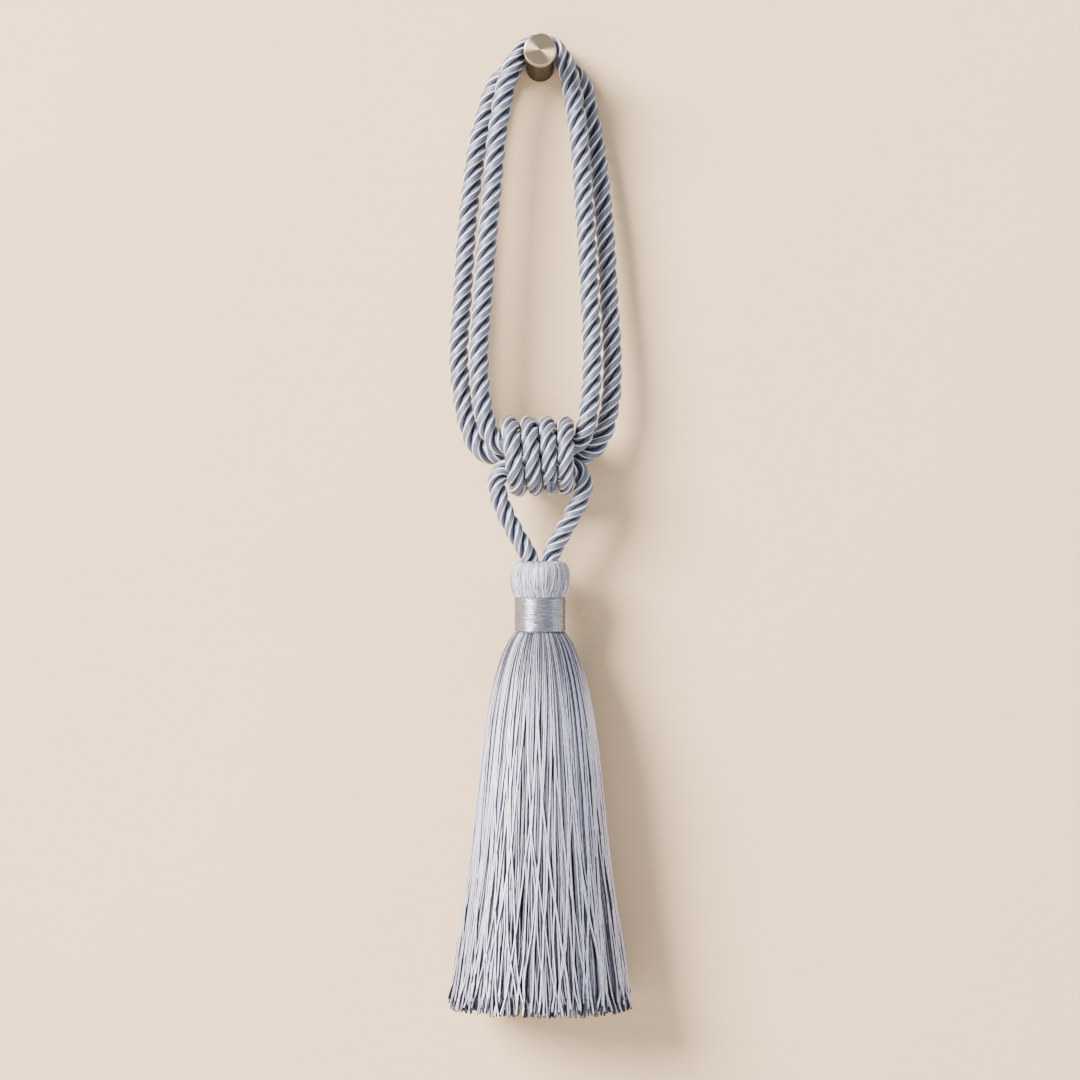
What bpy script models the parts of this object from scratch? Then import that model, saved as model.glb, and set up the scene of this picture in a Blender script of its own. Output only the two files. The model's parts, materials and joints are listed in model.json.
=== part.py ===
"""Curtain tieback of twisted rope with a tassel, hung on a round wall knob.

Sizes are in millimetres and turned into metres as each mesh is made.
+Z is up, the wall is the plane y = 0 and the room is on the -Y side.
The origin is the middle of the knob's back face.
"""
import math
import random

import bmesh
import bpy
from mathutils import Vector, geometry

MM = 0.001

# Knob
STEM_RADIUS = 7.15
HEAD_RADIUS = 7.9
KNOB_LENGTH = 45.0
HEAD_THICKNESS = 4.6
HEAD_BEVEL = 0.7
HEAD_BEVEL_MIDDLE = 0.3
HEAD_BACK_CHAMFER = 0.5
KNOB_SIDES = 48
KNOB_SHARP_ANGLE = 30.0

# Twisted rope
ROPE_RADIUS = 4.95
STRANDS_IN_ROPE = 3
ROPE_LAY = 28.7
WRAP_ROPE_LAY = 28.0
STEPS_PER_LAY = 9
VALLEY_DEPTH = 0.62
CROWN_HALF_ANGLE = 24.0
FRONT_LOOP_PHASE = 20.0
BACK_LOOP_PHASE = 75.0
CURVE_STEP = 0.5
PRESSED_ABOVE_Z = -14.0
PRESSED_SPREAD = 0.55

# Wrap round the foot of the loops
WRAP_CENTRE = (-1.2, -21.2, -197.7)
WRAP_COIL_RADIUS = 15.9
BOUND_ROPE_RADIUS = 4.5
CORE_OFFSET = 5.8
CORE_GAP_X = -1.2
CORE_GAP = 0.8
CORE_LEFT_X = -9.0
CORE_RIGHT_X = 7.0
WRAP_STEPS_PER_TURN = 12
WRAP_PHASE = 0.0

# Hanging cord of the tassel
CORD_RADIUS = 4.6
CORD_LAY = 27.0
CORD_PHASE = 40.0

# Tassel
TASSEL_AXIS = (0.0, -24.0)
HEAD_TOP_Z = -249.7
TASSEL_SIDES = 40
TASSEL_SHARP_ANGLE = 40.0
NECK_RADIUS = 11.5
BAND_INNER_RADIUS = 11.85
BAND_OUTER_RADIUS = 12.65
BAND_TOP_Z = -267.7
BAND_BOTTOM_Z = -284.4
BAND_EDGE = 0.3
BAND_SHARP_ANGLE = 30.0
ROOT_RADIUS = 12.4
ROOT_TOP_Z = -284.8
ROOT_BOTTOM_Z = -286.1
SKIRT_BOTTOM_Z = -470.0
STRAND_ROOT_WIDTH = 0.84
STRAND_ROOT_DEPTH = 0.9
STRAND_TIP_WIDTH = 2.3
STRAND_TIP_DEPTH = 1.6
TIP_WANDER = 0.5
LENGTH_WANDER = 1.3
SKIRT_SEED = 7

# Path of each rope: x, y, z and its thickness over the knob as a share of the full thickness
FRONT_LOOP_LEFT = (
    # x, y, z, thickness
    (-16.6, -24.1, -193.4, 0.90),
    (-21.2, -24.1, -191.8, 0.92),
    (-24.6, -24.1, -187.2, 0.96),
    (-27.3, -24.0, -179.0, 1.0),
    (-29.4, -23.8, -167.0, 1.0),
    (-30.3, -23.1, -149.8, 1.0),
    (-28.5, -21.7, -119.9, 1.0),
    (-24.4, -19.9, -69.8, 1.0),
    (-20.2, -18.4, -29.6, 1.0),
    (-16.4, -17.9, -10.4, 1.0),
)
FRONT_LOOP_RIGHT = (
    (15.2, -17.9, -10.4, 1.0),
    (18.4, -18.4, -29.6, 1.0),
    (21.9, -19.9, -69.8, 1.0),
    (24.9, -21.7, -119.9, 1.0),
    (25.9, -23.1, -149.8, 1.0),
    (25.2, -23.8, -168.0, 1.0),
    (23.6, -24.0, -179.0, 1.0),
    (21.4, -24.1, -187.4, 0.96),
    (18.2, -24.1, -191.8, 0.92),
    (13.8, -24.1, -193.4, 0.90),
)
BACK_LOOP_LEFT = (
    (-18.6, -15.4, -197.7, 0.90),
    (-24.0, -15.3, -197.2, 0.95),
    (-29.6, -15.1, -194.2, 1.0),
    (-35.0, -15.0, -184.6, 1.0),
    (-38.6, -14.8, -169.2, 1.0),
    (-40.6, -13.9, -149.1, 1.0),
    (-39.0, -12.2, -118.9, 1.0),
    (-35.2, -9.5, -68.4, 1.0),
    (-28.2, -7.2, -27.8, 1.0),
    (-20.4, -6.0, -7.4, 1.0),
)
BACK_LOOP_RIGHT = (
    (20.0, -6.0, -7.4, 1.0),
    (25.4, -7.2, -27.8, 1.0),
    (31.2, -9.5, -68.4, 1.0),
    (34.6, -12.2, -118.9, 1.0),
    (36.1, -13.9, -149.1, 1.0),
    (35.0, -14.8, -172.0, 1.0),
    (31.2, -15.0, -186.6, 1.0),
    (26.0, -15.2, -194.4, 1.0),
    (21.0, -15.3, -197.2, 0.95),
    (15.6, -15.4, -197.7, 0.90),
)
FRONT_LOOP_OVER_KNOB = (
    # angle from +X in degrees, thickness
    (176.0, 0.92),
    (152.0, 0.72),
    (124.0, 0.64),
    (90.0, 0.62),
    (56.0, 0.64),
    (28.0, 0.74),
    (4.0, 0.92),
)
BACK_LOOP_OVER_KNOB = (
    (176.0, 0.98),
    (152.0, 0.80),
    (124.0, 0.72),
    (90.0, 0.70),
    (56.0, 0.72),
    (28.0, 0.84),
    (4.0, 0.98),
)
FRONT_LOOP_KNOB_Y = -17.9
BACK_LOOP_KNOB_Y = -5.9
ROPE_TO_STEM = 0.4

HANGING_CORD_LEFT = (
    # x, z from the tassel up to the wrap
    (-5.2, -252.0),
    (-5.6, -247.6),
    (-10.2, -239.3),
    (-16.9, -226.9),
    (-20.4, -217.6),
    (-21.5, -211.0),
    (-19.4, -205.4),
    (-13.6, -202.7),
)
HANGING_CORD_RIGHT = (
    (13.6, -202.7),
    (19.6, -205.2),
    (21.7, -210.8),
    (19.9, -219.4),
    (14.8, -229.4),
    (8.8, -240.3),
    (5.4, -247.6),
    (5.2, -252.0),
)
WRAP_TURNS = (
    # turn, x from the left, rope radius; whole turns are at the top, halves at the bottom
    (-0.3, -18.1, 4.5),
    (0.0, -15.5, 4.6),
    (0.5, -10.8, 4.45),
    (1.0, -6.2, 4.5),
    (1.5, -2.1, 4.0),
    (2.0, 3.1, 4.5),
    (2.5, 5.6, 3.45),
    (3.0, 12.6, 4.55),
    (3.5, 12.8, 3.5),
    (3.56, 12.8, 3.4),
)

HEAD_PROFILE = (
    # radius, z from the dimple round the shoulder to the roots of the skirt
    (9.9, -253.0),
    (10.7, -250.4),
    (11.6, -249.7),
    (13.2, -250.9),
    (14.2, -253.4),
    (14.7, -257.2),
    (14.3, -261.4),
    (13.3, -265.0),
    (12.5, -267.3),
    (NECK_RADIUS, -267.3),
    (NECK_RADIUS, ROOT_TOP_Z),
    (ROOT_RADIUS, ROOT_TOP_Z),
    (ROOT_RADIUS, ROOT_BOTTOM_Z),
)
SKIRT_SHAPE = (
    # z, half width, half depth, y of the middle; all of the outer ring of strands
    (ROOT_BOTTOM_Z, 11.4, 11.4, -24.0),
    (-299.0, 18.6, 16.4, -24.2),
    (-328.7, 25.2, 20.4, -25.0),
    (-378.0, 30.5, 23.0, -26.0),
    (SKIRT_BOTTOM_Z, 42.3, 25.4, -27.6),
)
SKIRT_RINGS = (
    # share of the outer ring's size, strands, stagger, rows of SKIRT_SHAPE that the strand bends at
    (1.0, 56, 0.0, (0, 1, 2, 3, 4)),
    (0.83, 46, 0.5, (0, 1, 2, 4)),
    (0.655, 36, 0.25, (0, 2, 4)),
    (0.48, 26, 0.75, (0, 2, 4)),
    (0.30, 16, 0.1, (0, 2, 4)),
    (0.115, 6, 0.6, (0, 2, 4)),
)


def clear_scene():
    for item in list(bpy.data.objects):
        bpy.data.objects.remove(item, do_unlink=True)


def plain_material(name, colour, metallic, roughness):
    material = bpy.data.materials.new(name)
    material.use_nodes = True
    shader = material.node_tree.nodes["Principled BSDF"]
    shader.inputs["Base Color"].default_value = (*colour, 1.0)
    shader.inputs["Metallic"].default_value = metallic
    shader.inputs["Roughness"].default_value = roughness
    material.diffuse_color = (*colour, 1.0)
    return material


def add_object(name, vertices, faces, material, location, sharp_angle=None):
    """Vertices are in world millimetres; the object sits at location and they are kept from there."""
    origin = Vector(location)
    mesh = bpy.data.meshes.new(name)
    mesh.from_pydata([(Vector(v) - origin) * MM for v in vertices], [], faces)
    mesh.materials.append(material)
    work = bmesh.new()
    work.from_mesh(mesh)
    bmesh.ops.recalc_face_normals(work, faces=work.faces)
    work.to_mesh(mesh)
    work.free()
    mesh.shade_smooth()
    if sharp_angle is not None:
        mesh.set_sharp_from_angle(angle=math.radians(sharp_angle))
    item = bpy.data.objects.new(name, mesh)
    item.location = origin * MM
    bpy.context.scene.collection.objects.link(item)
    return item


def smooth_rows(rows, step):
    """Rows of equal length, joined by a smooth curve and cut again at about one step of x, y, z."""
    fine = []
    for index in range(len(rows) - 1):
        before = rows[max(index - 1, 0)]
        start = rows[index]
        end = rows[index + 1]
        after = rows[min(index + 2, len(rows) - 1)]
        span = (Vector(end[:3]) - Vector(start[:3])).length
        span_before = max((Vector(start[:3]) - Vector(before[:3])).length, 1e-6)
        span_after = max((Vector(after[:3]) - Vector(end[:3])).length, 1e-6)
        pieces = max(4, int(span / CURVE_STEP))
        for piece in range(pieces):
            t = piece / pieces
            row = []
            for a, b, c, d in zip(before, start, end, after):
                slope_in = tangent_at(a, b, c, span_before, span, before is start)
                slope_out = tangent_at(b, c, d, span, span_after, after is end)
                row.append(hermite(b, c, slope_in * span, slope_out * span, t))
            fine.append(row)
    fine.append(list(rows[-1]))
    lengths = [0.0]
    for a, b in zip(fine, fine[1:]):
        lengths.append(lengths[-1] + (Vector(b[:3]) - Vector(a[:3])).length)
    total = lengths[-1]
    count = max(2, round(total / step))
    result = []
    place = 0
    for index in range(count + 1):
        target = total * index / count
        while place < len(fine) - 2 and lengths[place + 1] < target:
            place += 1
        share = (target - lengths[place]) / max(lengths[place + 1] - lengths[place], 1e-9)
        share = min(max(share, 0.0), 1.0)
        result.append([a + (b - a) * share for a, b in zip(fine[place], fine[place + 1])])
    return result, total


def tangent_at(before, here, after, span_before, span_after, at_end):
    if at_end:
        return (after - here) / span_after if before == here else (here - before) / span_before
    weight = span_before + span_after
    slope_before = (here - before) / span_before
    slope_after = (after - here) / span_after
    return (slope_before * span_after + slope_after * span_before) / weight


def hermite(start, end, slope_start, slope_end, t):
    t2 = t * t
    t3 = t2 * t
    return (
        start * (2 * t3 - 3 * t2 + 1)
        + slope_start * (t3 - 2 * t2 + t)
        + end * (3 * t2 - 2 * t3)
        + slope_end * (t3 - t2)
    )


def rope_section():
    """Angle and share of the rope's radius of each point of one ring."""
    points = []
    for strand in range(STRANDS_IN_ROPE):
        middle = 360.0 / STRANDS_IN_ROPE * strand
        points.append((math.radians(middle - 180.0 / STRANDS_IN_ROPE), VALLEY_DEPTH))
        points.append((math.radians(middle - CROWN_HALF_ANGLE), 1.0))
        points.append((math.radians(middle + CROWN_HALF_ANGLE), 1.0))
    return points


def twisted_rope(name, rows, lay, phase, material, location, crosses_knob=False):
    """Rows hold x, y, z, radius and thickness; over the knob the rope is pressed towards its axis."""
    rings, total = smooth_rows(rows, lay / STEPS_PER_LAY)
    step = total / (len(rings) - 1)
    section = rope_section()
    centres = [Vector(ring[:3]) for ring in rings]
    vertices = []
    faces = []
    normal = None
    for index, ring in enumerate(rings):
        before = centres[max(index - 1, 0)]
        after = centres[min(index + 1, len(rings) - 1)]
        tangent = (after - before).normalized()
        if normal is None:
            normal = Vector((0.0, -1.0, 0.0))
        normal = (normal - tangent * normal.dot(tangent)).normalized()
        side = tangent.cross(normal)
        turn = math.radians(phase) + 2.0 * math.pi * step * index / lay
        radius = ring[3]
        thickness = ring[4]
        press = Vector((ring[0], 0.0, ring[2]))
        press = press - tangent * press.dot(tangent)
        press.normalize()
        spread = min(1.0 / thickness, 1.0 + (1.0 - thickness) * PRESSED_SPREAD)
        for angle, share in section:
            offset = normal * math.cos(angle + turn) + side * math.sin(angle + turn)
            offset = offset * radius * share
            if crosses_knob and ring[2] > PRESSED_ABOVE_Z:
                inwards = press * offset.dot(press)
                offset = inwards * thickness + (offset - inwards) * spread
            else:
                offset = offset * thickness
            vertices.append(centres[index] + offset)
    sides = len(section)
    for index in range(len(rings) - 1):
        for point in range(sides):
            following = (point + 1) % sides
            low = index * sides
            high = low + sides
            faces.append((low + point, low + following, high + following, high + point))
    first = len(vertices)
    vertices.append(centres[0])
    vertices.append(centres[-1])
    last_ring = (len(rings) - 1) * sides
    for point in range(sides):
        following = (point + 1) % sides
        faces.append((first, following, point))
        faces.append((first + 1, last_ring + point, last_ring + following))
    return add_object(name, vertices, faces, material, location)


def over_knob(table, y):
    rows = []
    for angle, thickness in table:
        distance = STEM_RADIUS + ROPE_TO_STEM + ROPE_RADIUS * thickness
        x = distance * math.cos(math.radians(angle))
        z = distance * math.sin(math.radians(angle))
        rows.append((x, y, z, thickness))
    return rows


def loop_rows(left, knob, right, core_y, core_z):
    """One loop: out of the wrap, up, over the knob, down and back into the wrap."""
    squeezed = BOUND_ROPE_RADIUS / ROPE_RADIUS
    start = [(CORE_GAP_X - CORE_GAP / 2, core_y, core_z, squeezed)]
    start.append((CORE_LEFT_X, core_y, core_z, squeezed))
    finish = [(CORE_RIGHT_X, core_y, core_z, squeezed)]
    finish.append((CORE_GAP_X + CORE_GAP / 2, core_y, core_z, squeezed))
    rows = start + list(left) + knob + list(right) + finish
    return [(x, y, z, ROPE_RADIUS, thickness) for x, y, z, thickness in rows]


def build_loops(material):
    front_y = WRAP_CENTRE[1] - CORE_OFFSET / 2
    front_z = WRAP_CENTRE[2] + CORE_OFFSET * math.sqrt(0.75)
    back_y = WRAP_CENTRE[1] + CORE_OFFSET
    back_z = WRAP_CENTRE[2]
    front = loop_rows(
        FRONT_LOOP_LEFT,
        over_knob(FRONT_LOOP_OVER_KNOB, FRONT_LOOP_KNOB_Y),
        FRONT_LOOP_RIGHT,
        front_y,
        front_z,
    )
    back = loop_rows(
        BACK_LOOP_LEFT,
        over_knob(BACK_LOOP_OVER_KNOB, BACK_LOOP_KNOB_Y),
        BACK_LOOP_RIGHT,
        back_y,
        back_z,
    )
    knob_centre = (0.0, 0.0, 0.0)
    twisted_rope("loop_rope_front", front, ROPE_LAY, FRONT_LOOP_PHASE, material, knob_centre, True)
    twisted_rope("loop_rope_back", back, ROPE_LAY, BACK_LOOP_PHASE, material, knob_centre, True)


def build_wrap(material):
    """A helix round the X axis through the wrap's middle, with its spacing and thickness uneven."""
    rows = []
    first = WRAP_TURNS[0][0]
    last = WRAP_TURNS[-1][0]
    count = int((last - first) * WRAP_STEPS_PER_TURN)
    for index in range(count + 1):
        turn = first + (last - first) * index / count
        x, radius = blend(WRAP_TURNS, turn)
        angle = 2.0 * math.pi * turn
        y = WRAP_CENTRE[1] - WRAP_COIL_RADIUS * math.sin(angle)
        z = WRAP_CENTRE[2] + WRAP_COIL_RADIUS * math.cos(angle)
        rows.append((x, y, z, radius, 1.0))
    twisted_rope("wrap_rope", rows, WRAP_ROPE_LAY, WRAP_PHASE, material, WRAP_CENTRE)


def blend(table, key):
    """Values of a table at a key, on the straight line between the two rows round it."""
    for low, high in zip(table, table[1:]):
        if key <= high[0] or high is table[-1]:
            share = min(max((key - low[0]) / (high[0] - low[0]), 0.0), 1.0)
            return [a + (b - a) * share for a, b in zip(low[1:], high[1:])]
    return list(table[-1][1:])


def build_hanging_cord(material):
    y = WRAP_CENTRE[1] - CORE_OFFSET / 2
    core_z = WRAP_CENTRE[2] - CORE_OFFSET * math.sqrt(0.75)
    rows = [(x, y, z, CORD_RADIUS, 1.0) for x, z in HANGING_CORD_LEFT]
    rows.append((0.0, y, core_z, BOUND_ROPE_RADIUS, 1.0))
    rows.extend((x, y, z, CORD_RADIUS, 1.0) for x, z in HANGING_CORD_RIGHT)
    twisted_rope("hanging_cord", rows, CORD_LAY, CORD_PHASE, material, WRAP_CENTRE)


def turned_vertices(profile, sides, axis):
    """Rings round a vertical axis at x, y, one for each radius and z of the profile."""
    vertices = []
    for radius, z in profile:
        for side in range(sides):
            angle = 2.0 * math.pi * side / sides
            vertices.append((axis[0] + radius * math.cos(angle), axis[1] + radius * math.sin(angle), z))
    return vertices


def ring_faces(rings, sides):
    faces = []
    for ring in range(rings - 1):
        for side in range(sides):
            following = (side + 1) % sides
            low = ring * sides
            high = low + sides
            faces.append((low + side, low + following, high + following, high + side))
    return faces


def strand_corner_offsets(outwards, width, depth):
    across = Vector((-outwards.y, outwards.x, 0.0))
    out = outwards * depth / 2
    wide = across * width / 2
    return (out - wide, out + wide, -out + wide, -out - wide)


def skirt_point(row, share, angle):
    z, half_width, half_depth, middle_y = SKIRT_SHAPE[row]
    x = TASSEL_AXIS[0] + half_width * share * math.cos(angle)
    y = middle_y + half_depth * share * math.sin(angle)
    return Vector((x, y, z))


def skirt_strands():
    """Each strand is a list of stations, and each station is the four corners of its section."""
    chance = random.Random(SKIRT_SEED)
    strands = []
    for share, count, stagger, rows in SKIRT_RINGS:
        for index in range(count):
            angle = 2.0 * math.pi * (index + stagger) / count - math.pi / 2.0
            wander = chance.uniform(-TIP_WANDER, TIP_WANDER)
            drop = chance.uniform(-LENGTH_WANDER, LENGTH_WANDER)
            stations = []
            for row in rows:
                centre = skirt_point(row, share, angle)
                fall = (SKIRT_SHAPE[0][0] - SKIRT_SHAPE[row][0]) / (SKIRT_SHAPE[0][0] - SKIRT_BOTTOM_Z)
                outwards = Vector((math.cos(angle), math.sin(angle), 0.0))
                across = Vector((-outwards.y, outwards.x, 0.0))
                centre += across * wander * fall
                if row == len(SKIRT_SHAPE) - 1:
                    centre.z += drop
                width = STRAND_ROOT_WIDTH + (STRAND_TIP_WIDTH - STRAND_ROOT_WIDTH) * fall
                depth = STRAND_ROOT_DEPTH + (STRAND_TIP_DEPTH - STRAND_ROOT_DEPTH) * fall
                corners = strand_corner_offsets(outwards, width, depth)
                stations.append([centre + corner for corner in corners])
            strands.append(stations)
    return strands


def build_tassel(material):
    """Head, neck and skirt are one hank of yarn: the strands grow out of the underside of the neck."""
    vertices = turned_vertices(HEAD_PROFILE, TASSEL_SIDES, TASSEL_AXIS)
    faces = ring_faces(len(HEAD_PROFILE), TASSEL_SIDES)
    dimple = len(vertices)
    vertices.append((TASSEL_AXIS[0], TASSEL_AXIS[1], HEAD_PROFILE[0][1]))
    for side in range(TASSEL_SIDES):
        faces.append((dimple, (side + 1) % TASSEL_SIDES, side))
    strands = skirt_strands()
    rim_start = (len(HEAD_PROFILE) - 1) * TASSEL_SIDES
    flat = [Vector(v[:2]) for v in vertices[rim_start:rim_start + TASSEL_SIDES]]
    numbers = list(range(rim_start, rim_start + TASSEL_SIDES))
    owner = [-1] * TASSEL_SIDES
    edges = [(side, (side + 1) % TASSEL_SIDES) for side in range(TASSEL_SIDES)]
    for number, stations in enumerate(strands):
        low = len(flat)
        for corner in stations[0]:
            numbers.append(len(vertices))
            vertices.append(tuple(corner))
            flat.append(Vector(corner[:2]))
            owner.append(number)
        edges.extend((low + k, low + (k + 1) % 4) for k in range(4))
    found = geometry.delaunay_2d_cdt(flat, edges, [], 1, 1e-5)
    source = [inputs[0] for inputs in found[3]]
    for triangle in found[2]:
        corners = [source[k] for k in triangle]
        owners = {owner[k] for k in corners}
        if len(owners) == 1 and owners != {-1}:
            continue
        faces.append(tuple(numbers[k] for k in corners))
    for number, stations in enumerate(strands):
        ring = [numbers[TASSEL_SIDES + number * 4 + k] for k in range(4)]
        for station in stations[1:]:
            low = len(vertices)
            vertices.extend(tuple(corner) for corner in station)
            lower = [low + k for k in range(4)]
            for k in range(4):
                following = (k + 1) % 4
                faces.append((ring[k], ring[following], lower[following], lower[k]))
            ring = lower
        faces.append(tuple(ring))
    place = (TASSEL_AXIS[0], TASSEL_AXIS[1], HEAD_TOP_Z)
    add_object("tassel_yarn", vertices, faces, material, place, TASSEL_SHARP_ANGLE)


def build_band(material):
    profile = (
        (BAND_INNER_RADIUS, BAND_TOP_Z),
        (BAND_OUTER_RADIUS - BAND_EDGE, BAND_TOP_Z),
        (BAND_OUTER_RADIUS, BAND_TOP_Z - BAND_EDGE),
        (BAND_OUTER_RADIUS, BAND_BOTTOM_Z + BAND_EDGE),
        (BAND_OUTER_RADIUS - BAND_EDGE, BAND_BOTTOM_Z),
        (BAND_INNER_RADIUS, BAND_BOTTOM_Z),
        (BAND_INNER_RADIUS, BAND_TOP_Z),
    )
    vertices = turned_vertices(profile[:-1], TASSEL_SIDES, TASSEL_AXIS)
    faces = ring_faces(len(profile) - 1, TASSEL_SIDES)
    last = (len(profile) - 2) * TASSEL_SIDES
    for side in range(TASSEL_SIDES):
        following = (side + 1) % TASSEL_SIDES
        faces.append((last + side, last + following, following, side))
    place = (TASSEL_AXIS[0], TASSEL_AXIS[1], BAND_TOP_Z)
    add_object("neck_band", vertices, faces, material, place, BAND_SHARP_ANGLE)


def build_knob(material):
    """Turned about the Y axis: back face on the wall, stem, then the slightly wider head."""
    head_back = KNOB_LENGTH - HEAD_THICKNESS
    bevel_middle = HEAD_BEVEL * HEAD_BEVEL_MIDDLE
    profile = (
        (STEM_RADIUS, 0.0),
        (STEM_RADIUS, -head_back),
        (HEAD_RADIUS, -head_back - HEAD_BACK_CHAMFER),
        (HEAD_RADIUS, -KNOB_LENGTH + HEAD_BEVEL),
        (HEAD_RADIUS - bevel_middle, -KNOB_LENGTH + bevel_middle),
        (HEAD_RADIUS - HEAD_BEVEL, -KNOB_LENGTH),
    )
    vertices = []
    for radius, y in profile:
        for side in range(KNOB_SIDES):
            angle = 2.0 * math.pi * side / KNOB_SIDES
            vertices.append((radius * math.cos(angle), y, radius * math.sin(angle)))
    faces = ring_faces(len(profile), KNOB_SIDES)
    last = (len(profile) - 1) * KNOB_SIDES
    faces.append(tuple(range(KNOB_SIDES)))
    faces.append(tuple(last + side for side in range(KNOB_SIDES)))
    add_object("wall_knob", vertices, faces, material, (0.0, 0.0, 0.0), KNOB_SHARP_ANGLE)


def main():
    clear_scene()
    rope = plain_material("rope_yarn", (0.30, 0.33, 0.40), 0.0, 0.45)
    yarn = plain_material("tassel_yarn", (0.46, 0.47, 0.52), 0.0, 0.45)
    thread = plain_material("band_thread", (0.40, 0.41, 0.46), 0.0, 0.4)
    metal = plain_material("knob_metal", (0.45, 0.40, 0.35), 1.0, 0.35)
    build_knob(metal)
    build_loops(rope)
    build_wrap(rope)
    build_hanging_cord(rope)
    build_tassel(yarn)
    build_band(thread)


main()
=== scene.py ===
import json
import math

import bmesh
import bpy
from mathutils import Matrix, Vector, noise

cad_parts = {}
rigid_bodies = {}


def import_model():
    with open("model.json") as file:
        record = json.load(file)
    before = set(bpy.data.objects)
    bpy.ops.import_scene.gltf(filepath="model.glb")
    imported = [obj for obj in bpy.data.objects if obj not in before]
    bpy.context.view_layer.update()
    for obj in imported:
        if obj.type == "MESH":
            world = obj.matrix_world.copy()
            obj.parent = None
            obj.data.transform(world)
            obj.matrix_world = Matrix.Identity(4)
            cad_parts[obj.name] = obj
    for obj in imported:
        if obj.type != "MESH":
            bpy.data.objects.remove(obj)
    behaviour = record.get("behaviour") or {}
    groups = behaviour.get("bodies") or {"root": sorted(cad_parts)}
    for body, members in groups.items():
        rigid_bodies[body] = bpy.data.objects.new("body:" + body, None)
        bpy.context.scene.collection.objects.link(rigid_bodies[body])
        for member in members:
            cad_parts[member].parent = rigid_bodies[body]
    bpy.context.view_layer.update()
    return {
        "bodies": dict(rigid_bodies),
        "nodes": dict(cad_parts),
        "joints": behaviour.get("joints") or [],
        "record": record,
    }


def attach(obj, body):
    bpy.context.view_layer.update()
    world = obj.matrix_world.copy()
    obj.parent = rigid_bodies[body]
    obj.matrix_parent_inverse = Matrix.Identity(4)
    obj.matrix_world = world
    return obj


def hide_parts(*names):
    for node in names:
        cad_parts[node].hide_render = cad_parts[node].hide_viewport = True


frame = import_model()
mm = 0.001
inCm = 0.1  # from mm to the yarn map's cm

# camera, wall and light
roomLook = {
    "lens": 79.8,
    "cameraBack": 1.213,
    "cameraHeight": -0.2393,
    "wallGap": 0.0004,
    "wallColour": (0.69, 0.516, 0.344),
    "floorColour": (0.50, 0.52, 0.55),
    "wallWide": 4.0,
    "brushLean": 38.0,
    "brushScale": (70.0, 70.0, 320.0),
    "brushBump": 0.5,
    "brushDepth": 0.0006,
    "cloudScale": 9.0,
    "cloudTones": (0.985, 1.015),
    "floorDrop": -0.62,
    "keyPlace": (-3.83, -3.19, 2.31),  # a soft round lamp high on the left
    "keySize": 3.0,
    "keyPower": 1765.0,
    "fillPlace": (2.9, -1.0, 0.2),  # a weak one on the right
    "fillSize": 2.0,
    "fillPower": 35.0,
    "keyColour": (1.0, 0.92, 0.80),
    "skyColour": (0.72, 0.88, 1.0),
    "skyStrength": 0.27,
}


def addNode(tree, kind, settings=None, values=None):
    # makes a node, with sockets given as links and everything else as plain values
    node = tree.nodes.new(kind)
    for name, value in (settings or {}).items():
        setattr(node, name, value)
    for name, value in (values or {}).items():
        if isinstance(value, bpy.types.NodeSocket):
            tree.links.new(value, node.inputs[name])
        else:
            node.inputs[name].default_value = value
    return node


def mathOf(tree, operation, *values, clamp=False):
    node = tree.nodes.new("ShaderNodeMath")
    node.operation = operation
    node.use_clamp = clamp
    for index, value in enumerate(values):
        if isinstance(value, bpy.types.NodeSocket):
            tree.links.new(value, node.inputs[index])
        else:
            node.inputs[index].default_value = value
    return node.outputs[0]


def vectorOf(tree, operation, first, second=None):
    values = {0: first} if second is None else {0: first, 1: second}
    return addNode(tree, "ShaderNodeVectorMath", {"operation": operation}, values).outputs[0]


def joinXyz(tree, x, y, z=0.0):
    return addNode(tree, "ShaderNodeCombineXYZ", None, {"X": x, "Y": y, "Z": z}).outputs[0]


def mapRange(tree, value, fromLow, fromHigh, toLow=0.0, toHigh=1.0, smooth=False):
    limits = {"From Min": fromLow, "From Max": fromHigh, "To Min": toLow, "To Max": toHigh}
    node = addNode(tree, "ShaderNodeMapRange", {"interpolation_type": "SMOOTHSTEP" if smooth else "LINEAR"},
                   {"Value": value, **limits})
    return node.outputs[0]


def mixColour(tree, factor, first, second, blend="MIX"):
    node = addNode(tree, "ShaderNodeMix", {"data_type": "RGBA", "blend_type": blend})
    for slot, value in ((0, factor), (6, first), (7, second)):
        if isinstance(value, bpy.types.NodeSocket):
            tree.links.new(value, node.inputs[slot])
        else:
            node.inputs[slot].default_value = value
    return node.outputs[2]


def newMaterial(name, look):
    # the numbers that are the same all over go straight onto the shader
    material = bpy.data.materials.new(name)
    material.use_nodes = True
    shader = material.node_tree.nodes["Principled BSDF"]
    for socket, value in look.items():
        shader.inputs[socket].default_value = value
    return material, material.node_tree, shader


def addBump(tree, shader, height, strength, depth):
    bump = addNode(tree, "ShaderNodeBump", None, {"Height": height, "Strength": strength, "Distance": depth})
    tree.links.new(bump.outputs["Normal"], shader.inputs["Normal"])


def meshObject(name, verts, faces, material, smooth=True):
    mesh = bpy.data.meshes.new(name)
    mesh.from_pydata([tuple(v) for v in verts], [], faces)
    mesh.materials.append(material)
    if smooth:
        mesh.shade_smooth()
    piece = bpy.data.objects.new(name, mesh)
    bpy.context.scene.collection.objects.link(piece)
    return piece


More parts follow.
